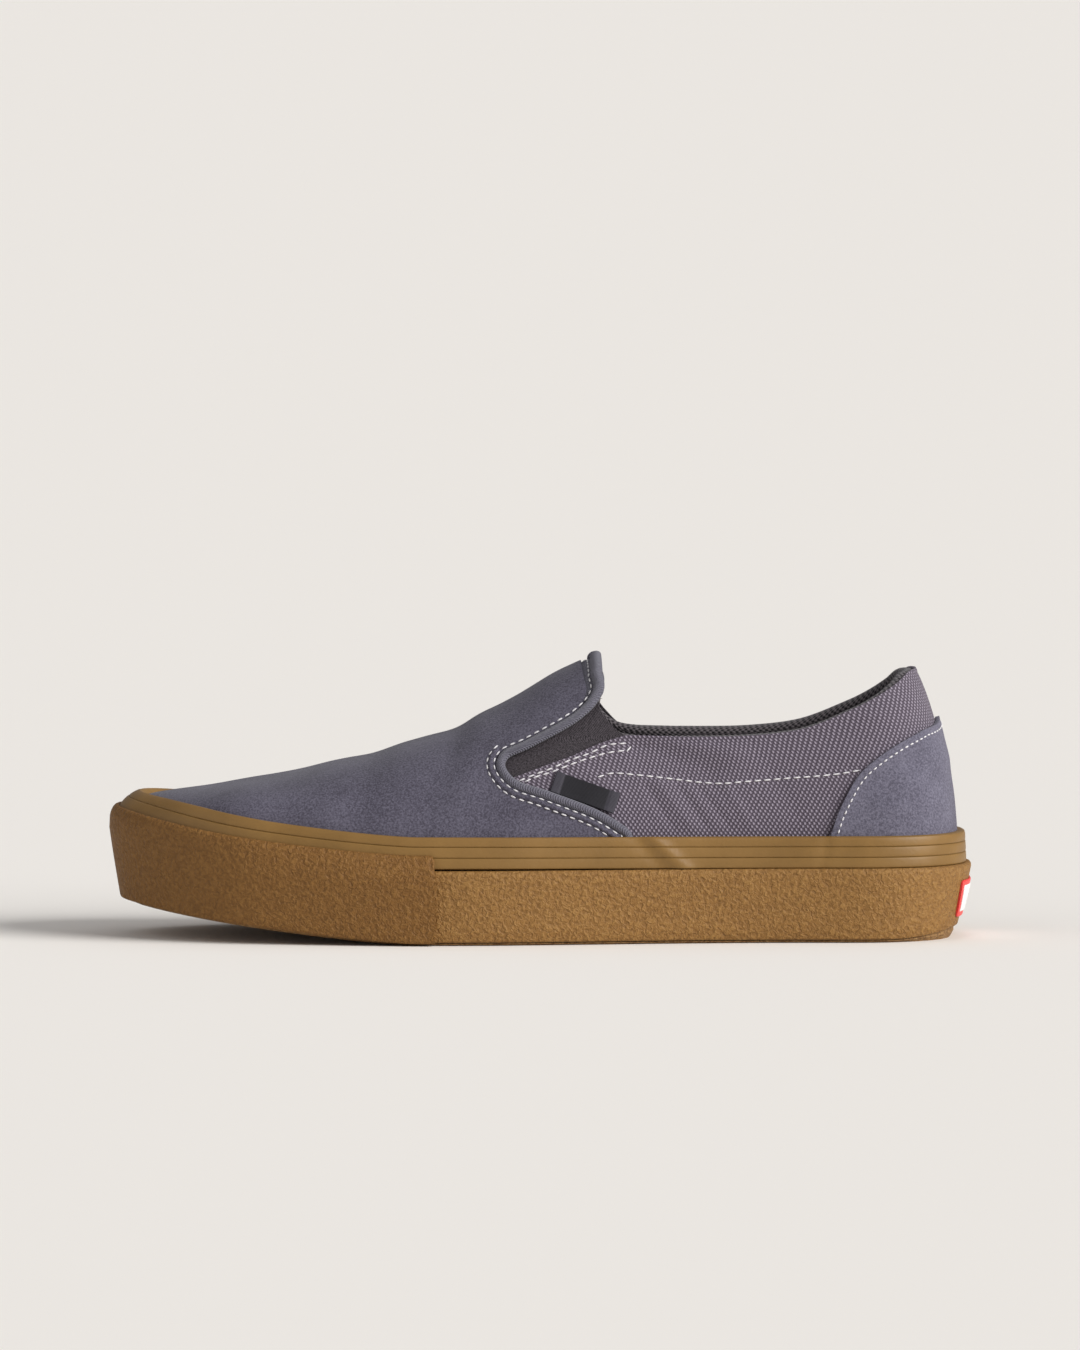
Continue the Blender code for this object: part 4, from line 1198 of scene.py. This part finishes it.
def edge_path(rows, count):
    """A suede edge up one side and down the other: places, rearward directions, lip share."""
    trip = []
    for side in (-1, 1):
        q, share = overlay_edge(rows, side, count)
        u = above_tape(q, side, share)
        u[-1] = 1.0
        trip.append((q, np.full_like(q, side), u))
    q, side, u = (np.concatenate((trip[0][k], trip[1][k][-2::-1])) for k in range(3))
    points = last_point(q, side, u)
    along = np.gradient(points, axis=0)
    across = np.cross(along, last_normal(q, side, u))
    across /= np.linalg.norm(across, axis=1, keepdims=True)
    return q, side, u, across, smooth((points[:, 2] - LIP_START) / LIP_RUN)


def beside(path, offset, lift):
    """Points at offsets rearward of an edge and lifts from the last.

    The last turns too sharply at its ridge for slide, so an even curve bridges it."""
    q, side, u, across, _ = path
    ridge = np.flatnonzero(u == 1.0)
    edge = last_point(q, side, u)
    q, u = slide(q, side, u, across * np.asarray(offset)[..., None])
    points = off_last(q, side, u, lift + 0 * q)
    if len(ridge):
        away = np.abs(np.arange(len(q)) - ridge[0])
        bridge = np.flatnonzero(away <= BRIDGE)
        beyond = np.flatnonzero((away > BRIDGE) & (away <= 2 * BRIDGE))
        for k in range(3):
            fit = np.polyfit(beyond - ridge[0], points[beyond, k] - edge[beyond, k], 2)
            points[bridge, k] = edge[bridge, k] + np.polyval(fit, bridge - ridge[0])
        low, high = ridge[0] - CREST, ridge[0] + CREST
        points[low:high + 1] = np.linspace(points[low], points[high], 2 * CREST + 1)
    return points


vamp_path = edge_path(VAMP_EDGE, BINDING_COLUMNS)
lip = vamp_path[4]
strip = 0.15 + LIP_STRIP * lip
rows = [beside(vamp_path, -0.6 + 0 * lip, 0.3), beside(vamp_path, -0.5 + 0 * lip, 0.9),
        beside(vamp_path, strip * 0.4, 1.1), beside(vamp_path, strip * 0.85, 1.1)]
radius = ROLL_RADIUS * (1 + 0.22 * lip)
for turn in np.radians(np.linspace(165, -60, 14)):
    offset = strip + ROLL_RADIUS + radius * math.cos(turn)
    rows.append(beside(vamp_path, offset, ROLL_LIFT + radius * math.sin(turn)))
rows += [beside(vamp_path, strip + 0.8, -0.4), rows[0]]
binding = grid_piece("twill_binding", np.stack(rows, axis=1))
weld(binding, close_ends=True)
twill, shader = new_finish("twill", 0.88, 0.2)
flat = flat_map(twill)
turned = node(twill, "ShaderNodeMapping", [("Vector", flat), ("Rotation", (0.0, 0.0, math.radians(38)))])
rib_wave = node(twill, "ShaderNodeTexWave",
                [("Vector", turned.outputs[0]), ("Scale", 0.45), ("Distortion", 0.6), ("Detail", 2.0)])
slub = noise(twill, flat, 1.6, 3.0)
both = maths(twill, "MULTIPLY_ADD", rib_wave.outputs["Fac"], 0.3, slub)
ramp(twill, shader, both, [(0.3, (0.068, 0.064, 0.084)), (0.95, (0.165, 0.158, 0.192))])
bump(twill, shader, rib_wave.outputs["Fac"], 0.00035, 0.7)
shader.inputs["Sheen Weight"].default_value = 0.2
finish_piece(binding, twill, "twill", "vamp_binding", sharp=70.0)


def lower_branch(side):
    """Path of the vamp's edge on one side, up to where the lip's strip begins."""
    height = last_point(*vamp_path[:3])[:, 2]
    near = np.flatnonzero((vamp_path[1] == side) & (height < raised(RIM_PLACE * LENGTH, RIM_TOP)))
    return tuple(values[near] for values in vamp_path)


for side, name in ((-1, "suede_rim_outer"), (1, "suede_rim_inner")):
    path = lower_branch(side)
    share = np.linspace(0.0, 1.0, len(path[0]))
    thin = np.sqrt(np.clip((1 - share if side < 0 else share) / 0.06, 0.03, 1.0))
    rows = []
    for turn in np.radians(np.linspace(200, -20, 11)):
        rows.append(beside(path, -RIM_INWARD + RIM_RADIUS * thin * math.cos(turn),
                           OVERLAY_GAP + SUEDE - 0.05 + RIM_RADIUS * thin * math.sin(turn)))
    rows.append(rows[0])
    rim = grid_piece(name, np.stack(rows, axis=1))
    weld(rim, close_ends=True)
    finish_piece(rim, suede, "suede", sharp=70.0)

# Stitching. Thick off-white thread in lock stitch, each stitch sunk at its ends:
# two rows along the vamp's edge, a double row and a long line on the quarters,
# and one row inside the counter's edge.
THREAD = 0.30
# Rows seen from the side, x and z in mm
QUARTER_UPPER_ROW = [(137.5, 53.8), (143.5, 56.2), (149.0, 58.2), (155.0, 60.8), (161.2, 62.9),
                     (167.3, 65.6), (173.2, 66.4)]
QUARTER_TURN = [(173.8, 65.9), (174.6, 64.6), (174.2, 64.2)]
QUARTER_LOWER_ROW = [(173.6, 64.1), (167.3, 63.1), (161.2, 61.4), (155.0, 59.3), (149.0, 57.0),
                     (143.5, 55.3), (140.5, 54.0)]
QUARTER_LONG_ROW = [(163.8, 54.9), (165.8, 55.7), (169.1, 56.5), (175.0, 56.2), (192.0, 54.4),
                    (198.0, 53.6), (206.0, 53.1), (213.0, 53.6), (229.0, 54.8), (237.4, 55.4),
                    (245.0, 56.2), (251.5, 57.3)]
# Distances of the rows from the edges that they follow
VAMP_SEAM, LIP_SEAM, SECOND_SEAM, COUNTER_SEAM = 0.42, 2.1, 2.75, 2.1
bpy.ops.object.select_all(action="DESELECT")
bpy.ops.mesh.primitive_uv_sphere_add(segments=7, ring_count=6, radius=1.0)
one_stitch = bpy.context.object


def sew(name, seams, pitch, length):
    """Stitches along seams, each seam a line of points and the cloth's normals there."""
    made = []
    for points, normals in seams:
        run = run_along(points)
        for at in np.arange(pitch / 2, run[-1], pitch):
            middle = np.array([np.interp(at, run, points[:, k]) for k in range(3)])
            ahead = np.array([np.interp(at + 0.4, run, points[:, k]) for k in range(3)])
            normal = np.array([np.interp(at, run, normals[:, k]) for k in range(3)])
            along = Vector(ahead - middle).normalized()
            across = Vector(normal).cross(along).normalized()
            turn = Matrix((along, across, along.cross(across))).transposed().to_4x4()
            stitch = one_stitch.copy()
            stitch.data = one_stitch.data.copy()
            stitch.data.transform(Matrix.Translation(Vector(middle * MM)) @ turn
                                  @ Matrix.Diagonal((length * MM / 2, THREAD * MM, THREAD * MM, 1.0)))
            bpy.context.collection.objects.link(stitch)
            made.append(stitch)
    select_only(*made)
    bpy.ops.object.join()
    piece = bpy.context.object
    piece.name = piece.data.name = name
    return piece


def side_seam(row, side, lift):
    """A seam given from the side, with a smooth line through its places."""
    step = np.linspace(0.0, len(row) - 1, 12 * len(row))
    x, z = curve(numbered(row), step, 1), curve(numbered(row), step, 2)
    q, u = locate(x, z, side)
    base = folds(last_point(q, side, u), CANVAS_FOLDS)
    return off_last(q, side, u, lift + base), last_normal(q, side, u)


thread, shader = new_finish("thread", 0.7, 0.3)
spot = own_space(thread)
twist = noise(thread, spot, 2600.0, 2.0)
ramp(thread, shader, twist, [(0.3, (0.50, 0.48, 0.50)), (0.65, (0.80, 0.78, 0.78))])

stitch_lift = OVERLAY_GAP + SUEDE + 0.10
seams = [(beside(vamp_path, -VAMP_SEAM + LIP_SEAM * lip, stitch_lift - 0.62 * lip),
          last_normal(*vamp_path[:3]))]
for side in (-1, 1):
    path = lower_branch(side)
    seams.append((beside(path, -SECOND_SEAM + 0 * path[0], stitch_lift), last_normal(*path[:3])))
finish_piece(sew("vamp_stitching", seams, pitch=3.0, length=2.1), thread, "twill")

seams = []
for side in (-1, 1):
    for row in (QUARTER_UPPER_ROW, QUARTER_TURN, QUARTER_LOWER_ROW, QUARTER_LONG_ROW):
        seams.append(side_seam(row, side, 0.14))
finish_piece(sew("quarter_stitching", seams, pitch=3.3, length=2.5), thread, "canvas")

seams = []
for side in (-1, 1):
    q, share = overlay_edge(COUNTER_EDGE, side, 60)
    rear = np.linspace(0.0, 1.0, 40)[1:]
    q = np.concatenate((q, q[-1] + (3.0 - q[-1]) * rear))
    share = np.concatenate((share, share[-1] + (counter_top(side) - share[-1]) * rear))
    u = above_tape(q, side, share)
    inward = np.cross(last_normal(q, side, u), np.gradient(last_point(q, side, u), axis=0))
    inward *= COUNTER_SEAM * np.sign(inward[0, 0]) / np.linalg.norm(inward, axis=1, keepdims=True)
    q, u = slide(q, side, u, inward)
    base = folds(last_point(q, side, u), SUEDE_FOLDS)
    seams.append((off_last(q, side, u, stitch_lift + base), last_normal(q, side, u)))
finish_piece(sew("counter_stitching", seams, pitch=2.25, length=1.5), thread, "suede")
bpy.data.objects.remove(one_stitch)

# Side tag. A small woven damask tag folded at both ends and sewn flat below the
# gore, its lower edge caught by the binding. Its face is plain.
TAG_CORNER = (0.511, 0.285)
TAG_DROP = 1.7
TAG_TURN = math.radians(-19.0)
TAG_LENGTH = 22.5
TAG_WIDTH = 7.0
run = np.linspace(0.0, 1.0, 64)[:, None]
rise = np.linspace(0.0, 1.0, 22)[None, :]
corner_x = TAG_CORNER[0] * LENGTH
corner_z = float(raised(np.array(corner_x), TAG_CORNER[1])) - TAG_DROP
x = corner_x + run * TAG_LENGTH * math.cos(TAG_TURN) - rise * TAG_WIDTH * math.sin(TAG_TURN)
z = corner_z + run * TAG_LENGTH * math.sin(TAG_TURN) + rise * TAG_WIDTH * math.cos(TAG_TURN)
q, u = locate(x, z, -1)
ends = 0.28 * smooth((np.abs(run - 0.5) - 0.36) / 0.02) * smooth((0.5 - np.abs(run - 0.5)) / 0.02)
lift = 0.75 + ends + 0.12 * np.sin(run * math.pi) + 0 * rise
tag = lay_sheet("side_tag_plain", q, np.full(q.shape, -1), u,
                lift + 0.35 * smooth((0.3 - rise) / 0.3), 0.65, 0.2)
woven, shader = new_finish("tag_weave", 0.65, 0.3)
flat = flat_map(woven)
parts = node(woven, "ShaderNodeSeparateXYZ", [("Vector", flat)])
share = maths(woven, "MULTIPLY", maths(woven, "ABSOLUTE", parts.outputs["X"]), 2.0 / TAG_LENGTH)
rib_wave = node(woven, "ShaderNodeTexWave", [("Vector", flat), ("Scale", 0.75), ("Distortion", 0.4)],
                bands_direction="Y").outputs["Fac"]
ramp(woven, shader, maths(woven, "MULTIPLY_ADD", rib_wave, 0.035, share),
     [(0.0, (0.012, 0.011, 0.014)), (0.70, (0.017, 0.016, 0.020)), (0.735, (0.052, 0.048, 0.060))])
bump(woven, shader, rib_wave, 0.0002, 0.6)
finish_piece(tag, woven, "dark_weave", "side_tag")
